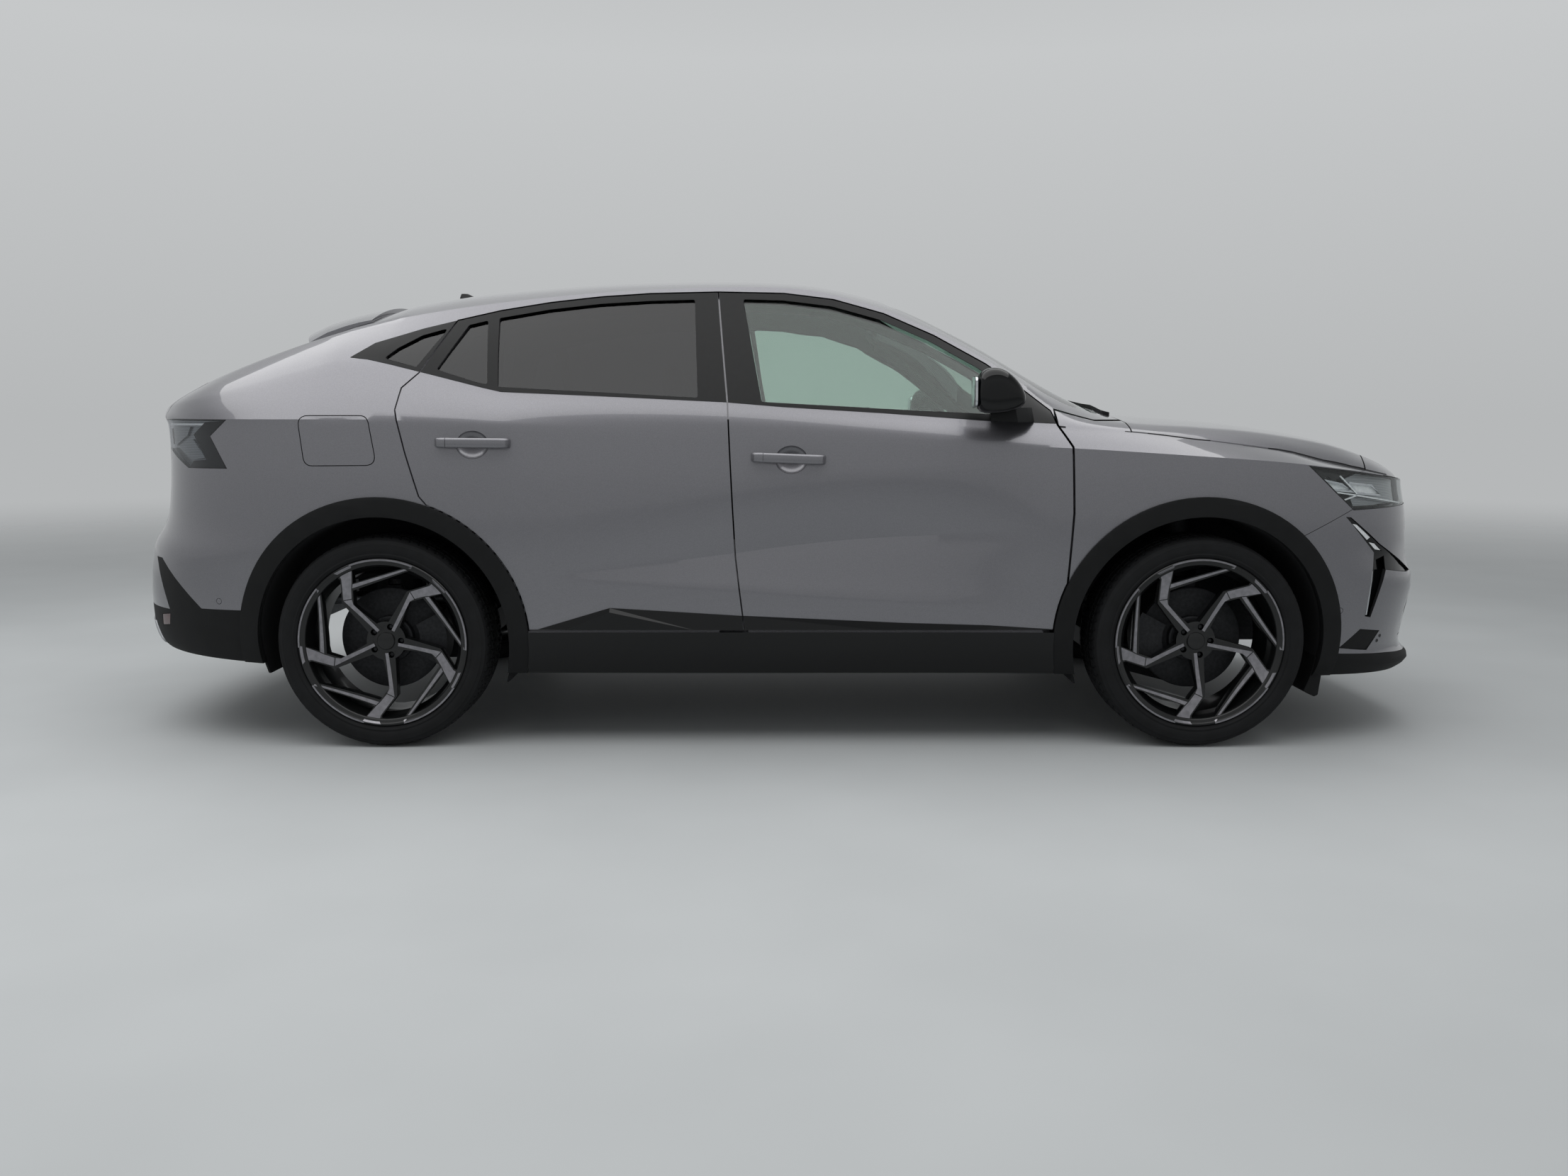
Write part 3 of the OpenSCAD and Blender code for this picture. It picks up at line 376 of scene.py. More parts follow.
def subdivided(obj, levels=2):
    mod = obj.modifiers.new("smooth", "SUBSURF")
    mod.levels = mod.render_levels = levels
    return apply_mods(obj)


def copied(obj):
    other = bpy.data.objects.new(obj.name, obj.data.copy())
    bpy.context.scene.collection.objects.link(other)
    return other


def joined(objects):
    """One object out of several separate ones."""
    bm = bmesh.new()
    for obj in objects:
        bm.from_mesh(obj.data)
    bm.to_mesh(objects[0].data)
    bm.free()
    for obj in objects[1:]:
        bpy.data.objects.remove(obj)
    return objects[0]


def both_sides(obj):
    """The piece together with its mirror image on the other side of the car."""
    return joined([obj, mirrored(obj, "other")])


def side_prism(outlines, inner=250.0):
    """Both sides of the car at once, from outlines seen from the side."""
    return prism(outlines, "side", inner, FAR, both=True)


def right_prism(outlines):
    return prism(outlines, "side", -FAR, -250.0)


def drum(x, y0, y1, r, steps=96):
    """A round solid along y at axle height."""
    a = [math.radians(360 * i / steps) for i in range(steps)]
    return prism([[(x + r * math.cos(t), AXLE_Z + r * math.sin(t)) for t in a]], "side", y0, y1, both=True)


def apply_mods(obj):
    depsgraph = bpy.context.evaluated_depsgraph_get()
    mesh = bpy.data.meshes.new_from_object(obj.evaluated_get(depsgraph))
    old = obj.data
    obj.modifiers.clear()
    obj.data = mesh
    if old.users == 0:
        bpy.data.meshes.remove(old)
    return obj


def combine(obj, operation, *tools, keep=False):
    for tool in tools:
        mod = obj.modifiers.new("combine", "BOOLEAN")
        mod.operation = operation
        mod.object = tool
        mod.solver = "MANIFOLD"
        apply_mods(obj)
        if not keep:
            bpy.data.objects.remove(tool)
    if not obj.data.polygons:
        raise RuntimeError(f"nothing is left of {obj.name}")
    return obj


def cut(obj, *tools, keep=False):
    return combine(obj, "DIFFERENCE", *tools, keep=keep)


def common(obj, *tools, keep=False):
    return combine(obj, "INTERSECT", *tools, keep=keep)


def weld(obj, *tools):
    return combine(obj, "UNION", *tools)


def shell(a, b, fine=True):
    """The layer of the body between insets a and b."""
    return cut(body(a, fine), body(b, False))


def smooth(obj, angle=32):
    obj.data.shade_smooth()
    obj.data.set_sharp_from_angle(angle=math.radians(angle))
    return obj


def mirrored(obj, name):
    """A copy of obj on the other side of the car."""
    mesh = obj.data.copy()
    mesh.transform(Matrix.Scale(-1, 4, (0, 1, 0)))
    mesh.flip_normals()
    other = bpy.data.objects.new(name, mesh)
    bpy.context.scene.collection.objects.link(other)
    return other


def finish_piece(obj, name, body_name, mats, replaces=(), angle=32, pick=None):
    """Names a piece, gives it its materials and its body. pick says which material a face gets."""
    obj.name = name
    obj.data.name = name
    obj.data.materials.clear()
    for m in mats:
        obj.data.materials.append(m)
    index = np.zeros(len(obj.data.polygons), int)
    if pick is not None:
        centre = np.empty(len(index) * 3)
        normal = np.empty(len(index) * 3)
        obj.data.polygons.foreach_get("center", centre)
        obj.data.polygons.foreach_get("normal", normal)
        index = np.asarray(pick(centre.reshape(-1, 3) / MM, normal.reshape(-1, 3)), int)
    obj.data.polygons.foreach_set("material_index", index)
    smooth(obj, angle)
    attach(obj, body_name)
    if replaces:
        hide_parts(*replaces)
    return obj


def depth_in(centre):
    """How far points lie inside the body's outer surface, from its width, length and height there."""
    x, y, z = centre[:, 0], np.abs(centre[:, 1]), centre[:, 2]
    zs, zb, zr, zc = along(SHOULDER, x), along(BELT, x), along(RAIL, x), along(CROWN, x)
    ahead = np.where(x > 0, 1, -1)
    power = np.where(x > 0, NOSE_POWER, TAIL_POWER)
    axle = np.where(x > 0, FRONT_AXLE_X, REAR_AXLE_X)
    end = np.where(z > zs, np.where(x > 0, 2284, -2270), np.where(x > 0, along(NOSE, z), along(TAIL, z)))
    turn = (1 - np.clip((x - axle) / (end - axle), 0, 0.999) ** power) ** (1 / power)
    wide = along(SIDE_WIDTH, x)
    ys, yb, yr = wide + along(SWELL, zs), along(BELT_WIDTH, x), along(RAIL_WIDTH, x)
    low = wide + along(SWELL, z) - hollow(x, z)
    mid = mix(ys, yb, (z - zs) / np.maximum(zb - zs, 1))
    top = mix(yb, yr, (z - zb) / np.maximum(zr - zb, 1)) + 10
    full = np.select([z <= zs, z <= zb], [low, mid], top)
    reach = (1 - np.clip(y / full, 0, 1) ** power) ** (1 / power)
    inside = np.minimum(full * turn - y, (mix(axle, end, reach) - x) * ahead)
    roof = zc - (zc - zr) * np.clip(y / np.maximum(yr * turn, 1), 0, 1) ** 2.3 - z
    return np.where(z > zr - 5, roof, np.minimum(inside, np.where(z > zb, roof + 60, 1e9)))


# Outlines, the same as the frame's, in millimetres

def arc(cx, cz, r, a0, a1, n=10):
    return [[cx + r * math.cos(math.radians(mix(a0, a1, i / n))), cz + r * math.sin(math.radians(mix(a0, a1, i / n)))]
            for i in range(n + 1)]


ARCH_R = 424.0
ARCH_W = 66.0
GAP = 5.0
SKIN = 10.0
DOOR_T = 62.0
WALL = 92.0
FLANGE = 30.0
JAMB = 19.0
LAMP_Y = 470.0
DOOR_JOINT = [[-214, 1533], [-175, 1148], [-151, 646], [-121, 400]]
TOP_FRONT = [[-214, 1534], [11, 1529], [182, 1508], [353, 1460], [525, 1385], [698, 1288], [825, 1196], [905, 1130]]
TOP_REAR = [[-1105, 1437], [-959, 1471], [-787, 1499], [-616, 1518], [-445, 1529], [-214, 1534]]
DOOR_FRONT_EDGE = [[920, 1082], [962, 1010], [968, 794], [955, 560], [932, 400]]
DOOR_REAR_EDGE = [[-855, 400]] + arc(REAR_AXLE_X, AXLE_Z, ARCH_R + ARCH_W + GAP / 2, 12, 70, 16) + [
    [-1190, 850], [-1233, 991], [-1269, 1132], [-1256, 1205], [-1205, 1256]]
FRONT_DOOR = TOP_FRONT + DOOR_FRONT_EDGE + DOOR_JOINT[:0:-1]
REAR_DOOR = TOP_REAR + DOOR_JOINT[1:] + DOOR_REAR_EDGE
BOTH_DOORS = TOP_REAR + TOP_FRONT[1:] + DOOR_FRONT_EDGE + DOOR_REAR_EDGE
FRONT_WINDOW = [[-128, 1508], [11, 1504], [175, 1484], [340, 1438], [505, 1366], [670, 1272], [765, 1200],
                [800, 1112], [343, 1136], [-62, 1158]]
REAR_WINDOW = [[-961, 1444], [-787, 1474], [-616, 1493], [-445, 1503], [-293, 1507], [-274, 1172], [-597, 1190],
               [-940, 1208]]
REAR_VENT = [[-1150, 1266], [-1062, 1420], [-998, 1436], [-975, 1216], [-1010, 1222]]
QUARTER_WINDOW = [[-1330, 1304], [-1290, 1340], [-1217, 1384], [-1130, 1410], [-1218, 1274]]
HEADLAMP = [[1742, 950], [1841, 860], [1912, 800], [2400, 812], [2400, 868], [2244, 886], [2071, 908], [1931, 927]]
HEADLAMP_MODULES = [[[1786, 904], [1869, 887], [1917, 861], [1822, 870]], [[1897, 891], [1993, 880], [2037, 846], [1929, 856]]]
HEADLAMP_GUIDES = [[[1790, 869], [1929, 849], [2200, 806]], [[1838, 822], [1929, 849]], [[1862, 914], [1929, 854]]]
DRL = [[1884, 779], [2008, 654], [2006, 608], [1988, 436], [2013, 431], [2066, 592], [2190, 572], [2230, 572], [2034, 682],
       [1904, 777]]
DRL_SEGMENTS = [[[1912, 755], [1930, 751], [1990, 706], [1977, 698]], [[1985, 690], [2010, 684], [2042, 659], [2015, 664]]]
VENT_EDGE = [[2008, 590], [1996, 440]]
TAIL_LAMP = [[-2400, 1104], [-1842, 1100], [-1910, 1045], [-1843, 938], [-2016, 937], [-2133, 997], [-2400, 1000]]
FLAP = rounded([[-1588, 1112], [-1358, 1112], [-1328, 953], [-1564, 951]], 30)
GATE_HALF = 602.0
GATE = [[-542, 676], [542, 676], [602, 800], [602, 1140], [590, 1380], [576, 1600], [-576, 1600], [-590, 1380],
        [-602, 1140], [-602, 800]]
WINDSHIELD = [[1100, -640], [1000, -660], [800, -640], [600, -600], [402, -540], [352, -420], [326, 0], [352, 420],
              [402, 540], [600, 600], [800, 640], [1000, 660], [1100, 640], [1128, 400], [1136, 0], [1128, -400]]
REAR_GLASS = [[-1560, -520], [-2040, -560], [-2100, -520], [-2120, 0], [-2100, 520], [-2040, 560], [-1560, 520]]
GRILLE = [[[-500, 792], [500, 792], [640, 700], [470, 556], [-470, 556], [-640, 700]],
          [[-640, 340], [640, 340], [598, 508], [-598, 508]]]
# Black plastic at the foot of the bumpers, and the black wedge on the rear corner
LOWER_FRONT = [[1400, 100], [2600, 100], [2600, 268], [2352, 268], [2107, 296], [1891, 311], [1780, 322], [1400, 344]]
LOWER_REAR = [[-2600, 100], [-1400, 100], [-1400, 466], [-1971, 462], [-2157, 622], [-2196, 622], [-2121, 447], [-2600, 447]]
FRONT_CUT = [[1400, 400], [1400, 1300], [1700, 1300], [2120, 1300], [2120, 900], [1912, 804], [1620, 660], [1500, 400]]
FENDER = [[937, 400], [960, 560], [973, 794], [967, 1012], [925, 1084], [922, 1130], [1060, 1095], [1178, 1095],
          [1300, 1112], [1500, 1112], [1700, 1060], [2120, 1000], [2120, 900], [1912, 806], [1620, 662], [1500, 400]]


def hood_outline():
    x = np.array([1176, 1230, 1300, 1450, 1650, 1850, 1960, 2012], float)
    t = np.clip((x - FRONT_AXLE_X) / (2272 - FRONT_AXLE_X), 0, 1)
    half = along(BELT_WIDTH, x) * (1 - t ** NOSE_POWER) ** (1 / NOSE_POWER) - 6
    side = [[a, b] for a, b in zip(x, half)] + [[2044, 590], [2084, 450], [2118, 300], [2138, 150], [2144, 0]]
    return side + [[a, -b] for a, b in side[-2::-1]]


HOOD = hood_outline()


# Materials

def add_node(tree, kind, settings=(), **links):
    """Adds a node with its settings. A link's name is an input, by name or number, and its value an output socket."""
    node = tree.nodes.new(kind)
    for key, value in dict(settings).items():
        if isinstance(key, str) and hasattr(node, key):
            setattr(node, key, value)
        else:
            node.inputs[key].default_value = value
    for key, source in links.items():
        tree.links.new(source, node.inputs[int(key[1:]) if key[0] == "i" and key[1:].isdigit() else key])
    return node


def material(name, **sockets):
    """A material with its shader, whose plain sockets are set by name. Returns it with its tree and shader."""
    mat = bpy.data.materials.new(name)
    mat.use_nodes = True
    tree = mat.node_tree
    shader = tree.nodes["Principled BSDF"]
    for key, value in sockets.items():
        shader.inputs[key.replace("_", " ")].default_value = value
    return mat, tree, shader


def ramp(tree, source, stops):
    node = add_node(tree, "ShaderNodeValToRGB", {}, i0=source)
    el = node.color_ramp.elements
    while len(el) < len(stops):
        el.new(0.5)
    for e, (pos, colour) in zip(el, stops):
        e.position = pos
        e.color = linear(colour)
    return node.outputs["Color"]


def add_bump(tree, shader, height, strength, distance):
    bump = add_node(tree, "ShaderNodeBump", {"Strength": strength, "Distance": distance}, Height=height)
    tree.links.new(bump.outputs["Normal"], shader.inputs["Normal"])
    return bump


def object_coords(tree):
    return add_node(tree, "ShaderNodeTexCoord").outputs["Object"]


MATS = {}


def make_materials(look):
    # Metallic base coat under clear lacquer on pressed steel: fine bright flakes and a long soft gloss
    mat, tree, bsdf = material("painted_steel_metallic", Metallic=0.75, Roughness=0.36, Coat_Weight=1.0,
                               Coat_Roughness=0.035)
    co = object_coords(tree)
    flake = add_node(tree, "ShaderNodeTexVoronoi", {"Scale": 900.0}, Vector=co)  # flakes drawn about 1 mm wide
    cloud = add_node(tree, "ShaderNodeTexNoise", {"Scale": 2.0, "Detail": 2.0}, Vector=co)
    base = add_node(tree, "ShaderNodeMix", {"data_type": "RGBA", "blend_type": "MIX"})
    base.inputs[6].default_value = linear(look.paint_dark)
    base.inputs[7].default_value = linear(look.paint_light)
    both = add_node(tree, "ShaderNodeMath", {"operation": "MULTIPLY_ADD", 1: 0.55, 2: 0.2},
                    i0=flake.outputs["Color"])
    tree.links.new(both.outputs[0], base.inputs[0])
    tree.links.new(base.outputs[2], bsdf.inputs["Base Color"])
    rough = add_node(tree, "ShaderNodeMapRange", {3: 0.33, 4: 0.39}, i0=cloud.outputs["Fac"])
    tree.links.new(rough.outputs[0], bsdf.inputs["Roughness"])
    MATS["paint"] = mat

    # Gloss black acrylic over plastic: deep black with sharp reflections
    mat, tree, bsdf = material("gloss_black_acrylic", Roughness=0.09, IOR=1.38)
    co = object_coords(tree)
    dust = add_node(tree, "ShaderNodeTexNoise", {"Scale": 260.0, "Detail": 3.0}, Vector=co)
    tree.links.new(ramp(tree, dust.outputs["Fac"], [(0.4, "#060708"), (0.8, "#0b0c0d")]), bsdf.inputs["Base Color"])
    MATS["gloss"] = mat

    # Grained polypropylene, moulded in black: even, dull, with a leathery grain 0.8 mm wide
    mat, tree, bsdf = material("grained_polypropylene", Roughness=0.66, IOR=1.34)
    co = object_coords(tree)
    grain = add_node(tree, "ShaderNodeTexVoronoi", {"Scale": 1200.0}, Vector=co)
    patch = add_node(tree, "ShaderNodeTexNoise", {"Scale": 14.0, "Detail": 4.0}, Vector=co)
    tree.links.new(ramp(tree, patch.outputs["Fac"], [(0.3, "#090a0b"), (0.75, "#0f1011")]), bsdf.inputs["Base Color"])
    add_bump(tree, bsdf, grain.outputs["Distance"], 0.25, 0.0004)
    MATS["plastic"] = mat

    # Dark soft-touch lining and pressed felt behind the panels
    mat, tree, bsdf = material("trim_lining", Roughness=0.85)
    co = object_coords(tree)
    fibre = add_node(tree, "ShaderNodeTexNoise", {"Scale": 700.0, "Detail": 3.0}, Vector=co)
    tree.links.new(ramp(tree, fibre.outputs["Fac"], [(0.3, "#1c1c1e"), (0.7, "#27272a")]), bsdf.inputs["Base Color"])
    add_bump(tree, bsdf, fibre.outputs["Fac"], 0.2, 0.0006)
    MATS["lining"] = mat

    # Laminated and tempered glass: clear, faintly green at the edge
    for key, name, tint, rough in (("glass", "tempered_glass_clear", "#cde2d8", 0.0),
                                   ("tint", "tempered_glass_privacy", "#3a3c40", 0.0)):
        mat, tree, bsdf = material(name, Roughness=rough, IOR=1.5, Transmission_Weight=1.0)
        co = object_coords(tree)
        wave = add_node(tree, "ShaderNodeTexNoise", {"Scale": 3.0, "Detail": 1.0}, Vector=co)
        colour = linear(tint)
        dark = [c * 0.93 for c in colour[:3]] + [1]
        shade = add_node(tree, "ShaderNodeMix", {"data_type": "RGBA"}, i0=wave.outputs["Fac"])
        shade.inputs[6].default_value = colour
        shade.inputs[7].default_value = dark
        tree.links.new(shade.outputs[2], bsdf.inputs["Base Color"])
        MATS[key] = mat

    # Thin polycarbonate lamp covers, clear and smoked: light goes straight through under a hard gloss
    for key, name, tint, deep in (("smoke", "polycarbonate_cover_smoked", "#eff0f1", "#eaebed"),
                                  ("lens", "polycarbonate_cover_clear", "#fafbfb", "#f6f8f8")):
        mat, tree, bsdf = material(name, Metallic=1.0, Roughness=0.03)
        co = object_coords(tree)
        wave = add_node(tree, "ShaderNodeTexNoise", {"Scale": 3.0, "Detail": 1.0}, Vector=co)
        hue = ramp(tree, wave.outputs["Fac"], [(0.3, tint), (0.7, deep)])
        tree.links.new(hue, bsdf.inputs["Base Color"])
        through = add_node(tree, "ShaderNodeBsdfTransparent", {}, Color=hue)
        # The same share of gloss from either face, so that the thin wall never mirrors from within
        facing = add_node(tree, "ShaderNodeLayerWeight", {"Blend": 0.5}).outputs["Facing"]
        edge = add_node(tree, "ShaderNodeMath", {"operation": "POWER", 1: 4.0}, i0=facing)
        gloss = add_node(tree, "ShaderNodeMath", {"operation": "MULTIPLY_ADD", 1: 0.5, 2: 0.03}, i0=edge.outputs[0])
        cover = add_node(tree, "ShaderNodeMixShader", {}, i0=gloss.outputs[0], i1=through.outputs[0], i2=bsdf.outputs[0])
        tree.links.new(cover.outputs[0], tree.nodes["Material Output"].inputs["Surface"])
        MATS[key] = mat

    # Vulcanised rubber with mould haze on the sidewall
    mat, tree, bsdf = material("vulcanised_rubber", Roughness=0.76, IOR=1.36)
    co = object_coords(tree)
    haze = add_node(tree, "ShaderNodeTexNoise", {"Scale": 22.0, "Detail": 5.0}, Vector=co)
    tree.links.new(ramp(tree, haze.outputs["Fac"], [(0.3, "#0b0c0d"), (0.7, "#121315")]), bsdf.inputs["Base Color"])
    pore = add_node(tree, "ShaderNodeTexNoise", {"Scale": 900.0, "Detail": 2.0}, Vector=co)
    add_bump(tree, bsdf, pore.outputs["Fac"], 0.15, 0.0004)
    MATS["rubber"] = mat

    # Black satin lacquer on the window frames: darker and duller than the gloss trim
    mat, tree, bsdf = material("satin_black_lacquer", Roughness=0.28, IOR=1.32)
    co = object_coords(tree)
    film = add_node(tree, "ShaderNodeTexNoise", {"Scale": 60.0, "Detail": 2.0}, Vector=co)
    tree.links.new(ramp(tree, film.outputs["Fac"], [(0.35, "#050607"), (0.75, "#0a0b0c")]), bsdf.inputs["Base Color"])
    MATS["frame"] = mat

    # Needled felt of the wheel liners and the space behind the grille: swallows the light
    mat, tree, bsdf = material("needled_felt", Roughness=0.95, IOR=1.4)
    co = object_coords(tree)
    fluff = add_node(tree, "ShaderNodeTexNoise", {"Scale": 420.0, "Detail": 4.0}, Vector=co)  # tufts about 2 mm
    tree.links.new(ramp(tree, fluff.outputs["Fac"], [(0.3, "#0d0d0e"), (0.7, "#17171a")]), bsdf.inputs["Base Color"])
    add_bump(tree, bsdf, fluff.outputs["Fac"], 0.4, 0.001)
    MATS["felt"] = mat

    # Silver lacquer on the skid plate, and the vacuum-silvered bowls of the lamps, with fine flutes
    mat, tree, bsdf = material("silver_lacquer", Metallic=0.75, Roughness=0.34)
    co = object_coords(tree)
    flake = add_node(tree, "ShaderNodeTexVoronoi", {"Scale": 800.0}, Vector=co)
    tree.links.new(ramp(tree, flake.outputs["Color"], [(0.2, "#85878a"), (0.8, "#9a9c9f")]), bsdf.inputs["Base Color"])
    MATS["silver"] = mat
    mat, tree, bsdf = material("silvered_lamp_bowl", Metallic=0.9, Roughness=0.28)
    co = object_coords(tree)
    flute = add_node(tree, "ShaderNodeTexWave", {"Scale": 55.0, "bands_direction": "Z"}, Vector=co)  # 6 mm flutes
    tree.links.new(ramp(tree, flute.outputs["Fac"], [(0.2, "#7d8083"), (0.8, "#a3a6a9")]), bsdf.inputs["Base Color"])
    add_bump(tree, bsdf, flute.outputs["Fac"], 0.3, 0.0008)
    MATS["satin"] = mat

    # Diamond-turned aluminium face, lacquered: its fine turning rings about the hub, 0.6 mm apart, are not drawn, only
    # faint blotches of tone
    mat, tree, bsdf = material("turned_aluminium", Metallic=1.0, Roughness=0.3, Coat_Weight=0.6, Coat_Roughness=0.1)
    co = object_coords(tree)
    blot = add_node(tree, "ShaderNodeTexNoise", {"Scale": 60.0, "Detail": 2.0}, Vector=co)
    tree.links.new(ramp(tree, blot.outputs["Fac"], [(0.3, "#7d7c80"), (0.7, "#918f94")]), bsdf.inputs["Base Color"])
    MATS["turned"] = mat

    # Black powder coat on cast aluminium
    mat, tree, bsdf = material("black_powder_coat", Roughness=0.34, IOR=1.42, Coat_Weight=0.2, Coat_Roughness=0.1)
    co = object_coords(tree)
    peel = add_node(tree, "ShaderNodeTexNoise", {"Scale": 500.0, "Detail": 2.0}, Vector=co)
    tree.links.new(ramp(tree, peel.outputs["Fac"], [(0.3, "#070808"), (0.7, "#0d0e0f")]), bsdf.inputs["Base Color"])
    add_bump(tree, bsdf, peel.outputs["Fac"], 0.1, 0.0003)
    MATS["coat"] = mat

    # Cast and ground steel of discs, calipers and links
    mat, tree, bsdf = material("ground_steel", Metallic=1.0, Roughness=0.38)
    co = object_coords(tree)
    grind = add_node(tree, "ShaderNodeTexNoise", {"Scale": 180.0, "Detail": 4.0}, Vector=co)
    tree.links.new(ramp(tree, grind.outputs["Fac"], [(0.3, "#6d6f73"), (0.7, "#94969a")]), bsdf.inputs["Base Color"])
    MATS["steel"] = mat
    mat, tree, bsdf = material("black_phosphated_steel", Metallic=0.5, Roughness=0.6)
    co = object_coords(tree)
    scale = add_node(tree, "ShaderNodeTexNoise", {"Scale": 90.0, "Detail": 4.0}, Vector=co)
    tree.links.new(ramp(tree, scale.outputs["Fac"], [(0.3, "#1d1e20"), (0.7, "#2c2d30")]), bsdf.inputs["Base Color"])
    MATS["dark_steel"] = mat

    # Woven seat cloth: threads 1.6 mm apart, drawn coarse enough to show
    mat, tree, bsdf = material("woven_polyester", Roughness=0.9, Sheen_Weight=0.25, Sheen_Roughness=0.5)
    co = object_coords(tree)
    warp = add_node(tree, "ShaderNodeTexWave", {"Scale": 190.0, "bands_direction": "DIAGONAL"}, Vector=co)
    tree.links.new(ramp(tree, warp.outputs["Fac"], [(0.2, "#26272a"), (0.8, "#35363a")]), bsdf.inputs["Base Color"])
    add_bump(tree, bsdf, warp.outputs["Fac"], 0.3, 0.0006)
    MATS["cloth"] = mat

    # Moulded acrylic lamp lens, red, and the chrome and white optics behind clear lenses
    mat, tree, bsdf = material("red_acrylic_lens", Roughness=0.08, IOR=1.49, Coat_Weight=0.5, Coat_Roughness=0.03)
    co = object_coords(tree)
    rib = add_node(tree, "ShaderNodeTexWave", {"Scale": 60.0, "bands_direction": "Z"}, Vector=co)
    tree.links.new(ramp(tree, rib.outputs["Fac"], [(0.2, "#2a0407"), (0.8, "#4a080c")]), bsdf.inputs["Base Color"])
    MATS["red"] = mat
    mat, tree, bsdf = material("frosted_acrylic_lens", Roughness=0.22, IOR=1.49, Coat_Weight=0.6, Coat_Roughness=0.05)
    co = object_coords(tree)
    frost = add_node(tree, "ShaderNodeTexNoise", {"Scale": 120.0, "Detail": 2.0}, Vector=co)
    tree.links.new(ramp(tree, frost.outputs["Fac"], [(0.3, "#dcdfe1"), (0.7, "#eff1f2")]), bsdf.inputs["Base Color"])
    MATS["frosted"] = mat
    mat, tree, bsdf = material("vapour_coated_chrome", Metallic=1.0, Roughness=0.08)
    co = object_coords(tree)
    film = add_node(tree, "ShaderNodeTexNoise", {"Scale": 40.0, "Detail": 1.0}, Vector=co)
    tree.links.new(ramp(tree, film.outputs["Fac"], [(0.3, "#b9bcc0"), (0.7, "#d0d2d5")]), bsdf.inputs["Base Color"])
    MATS["chrome"] = mat


# Pieces

def doors_rear_edge_cutters():
    """What the body side loses for the doors: outer step, thick part's step, hinge pockets and openings."""
    outer = cut(side_prism([offset(BOTH_DOORS, GAP / 2)]), body(SKIN + 8))
    thick = cut(side_prism([offset(FRONT_DOOR, JAMB - FLANGE), offset(REAR_DOOR, JAMB - FLANGE)]),
                body(DOOR_T + 6, False))
    pocket = cut(side_prism([[[880, 394], [946, 394], [978, 700], [976, 1030], [930, 1092], [880, 1100]],
                             [[-205, 394], [-108, 394], [-140, 660], [-164, 1100], [-205, 1104]]]),
                 body(DOOR_T + 6, False))
    clear = side_prism([offset(FRONT_DOOR, -FLANGE - 36), offset(REAR_DOOR, -FLANGE - 36)])
    return [outer, thick, pocket, clear]


def arch_drums(r, y_front=468, y_rear=640):
    return [drum(FRONT_AXLE_X, y_front, 1168, r), drum(REAR_AXLE_X, y_rear, 1340, r)]


def block(lo, hi):
    return prism([[(lo[0], lo[1]), (hi[0], lo[1]), (hi[0], hi[1]), (lo[0], hi[1])]], "top", lo[2], hi[2])


def across(outline):
    """A prism right across the car, from an outline seen from the side."""
    return prism([outline], "side", -FAR, FAR)


def painted(limit=26):
    """Paint on the outside and in the shuts, lining deeper in."""
    def pick(centre, normal):
        return np.where(depth_in(centre) > limit, 1, 0)
    return pick


def painted_piece(obj, name, body_name, replaces=(), limit=26):
    return finish_piece(obj, name, body_name, [MATS["paint"], MATS["lining"]], replaces, 20, painted(limit))


def build_body_side():
    side = cut(body(0), body(WALL, False), *doors_rear_edge_cutters())
    cut(side, side_prism([rounded(QUARTER_WINDOW, 8), TAIL_LAMP]))
    front = across([[FAR, -FAR], [FAR, FAR], [1171, FAR], [1171, 1100], [1060, 1100], [917, 1138], [911, 1084],
                    [955, 1012], [961, 794], [950, 394], [950, -FAR]])
    hinge_post = common(body(SKIN + 0.3, False), block([900, -FAR, 394], [1010, FAR, 1084]))
    cut(side, cut(front, hinge_post))
    cut(side, block([-FAR, -FAR, -FAR], [-1500, FAR, 714]), block([-FAR, -FAR, -FAR], [FAR, FAR, 394]))
    cut(side, prism([offset(GATE, GAP)], "end", -FAR, -1419))
    cut(side, prism([WINDSHIELD], "top", 1000, FAR))
    cut(side, cut(right_prism([offset(FLAP, 3)]), body(44, False)))
    cut(side, *arch_drums(ARCH_R + ARCH_W))
    painted_piece(side, "body_side_panels", "body", ["body_shell"], 70)


def build_roof_fin():
    """The small aerial fin at the back of the roof."""
    rings = []
    for s in spread(0, 1, 9):
        x0, x1, w = mix(-1262, -1252, s ** 2), mix(-1126, -1226, s ** 0.8), mix(26, 7, s)
        z = 1546 + 40 * s
        t = [2 * math.pi * i / 20 for i in range(20)]
        rings.append([[mix(x0, x1, 0.5 + 0.5 * math.cos(a)), w * math.sin(a) * (1 - 0.3 * math.cos(a)), z] for a in t])
    fin = loft(rings)
    finish_piece(fin, "roof_aerial_fin", "body", [MATS["frame"]], angle=50)


def build_fenders():
    fender = common(body(0), across(FENDER), block([800, -FAR, 0], [FAR, 0, 1300]))
    cut(fender, body(SKIN, False), prism([offset(HOOD, GAP)], "top", 900, FAR), block([900, -560, 900], [2300, 560, 1300]))
    cut(fender, right_prism([HEADLAMP]), *arch_drums(ARCH_R + ARCH_W))
    left = mirrored(fender, "fender_left")
    painted_piece(fender, "fender_right", "body", ["front_fenders"], 8)
    painted_piece(left, "fender_left", "body", (), 8)


def build_hood():
    hood = common(body(0), prism([HOOD], "top", 900, FAR))
    cut(hood, body(26, False))
    cut(hood, cut(body(SKIN, False), prism([offset(HOOD, -45)], "top", 900, FAR)))
    painted_piece(hood, "hood_panel", "hood", ["hood"], 9)


def lamp_cut(outline):
    """Both sides of a lamp's opening in the nose."""
    return prism([outline], "side", LAMP_Y, FAR, both=True)


SENSORS = [[1887, 461], [-1897, 492]]


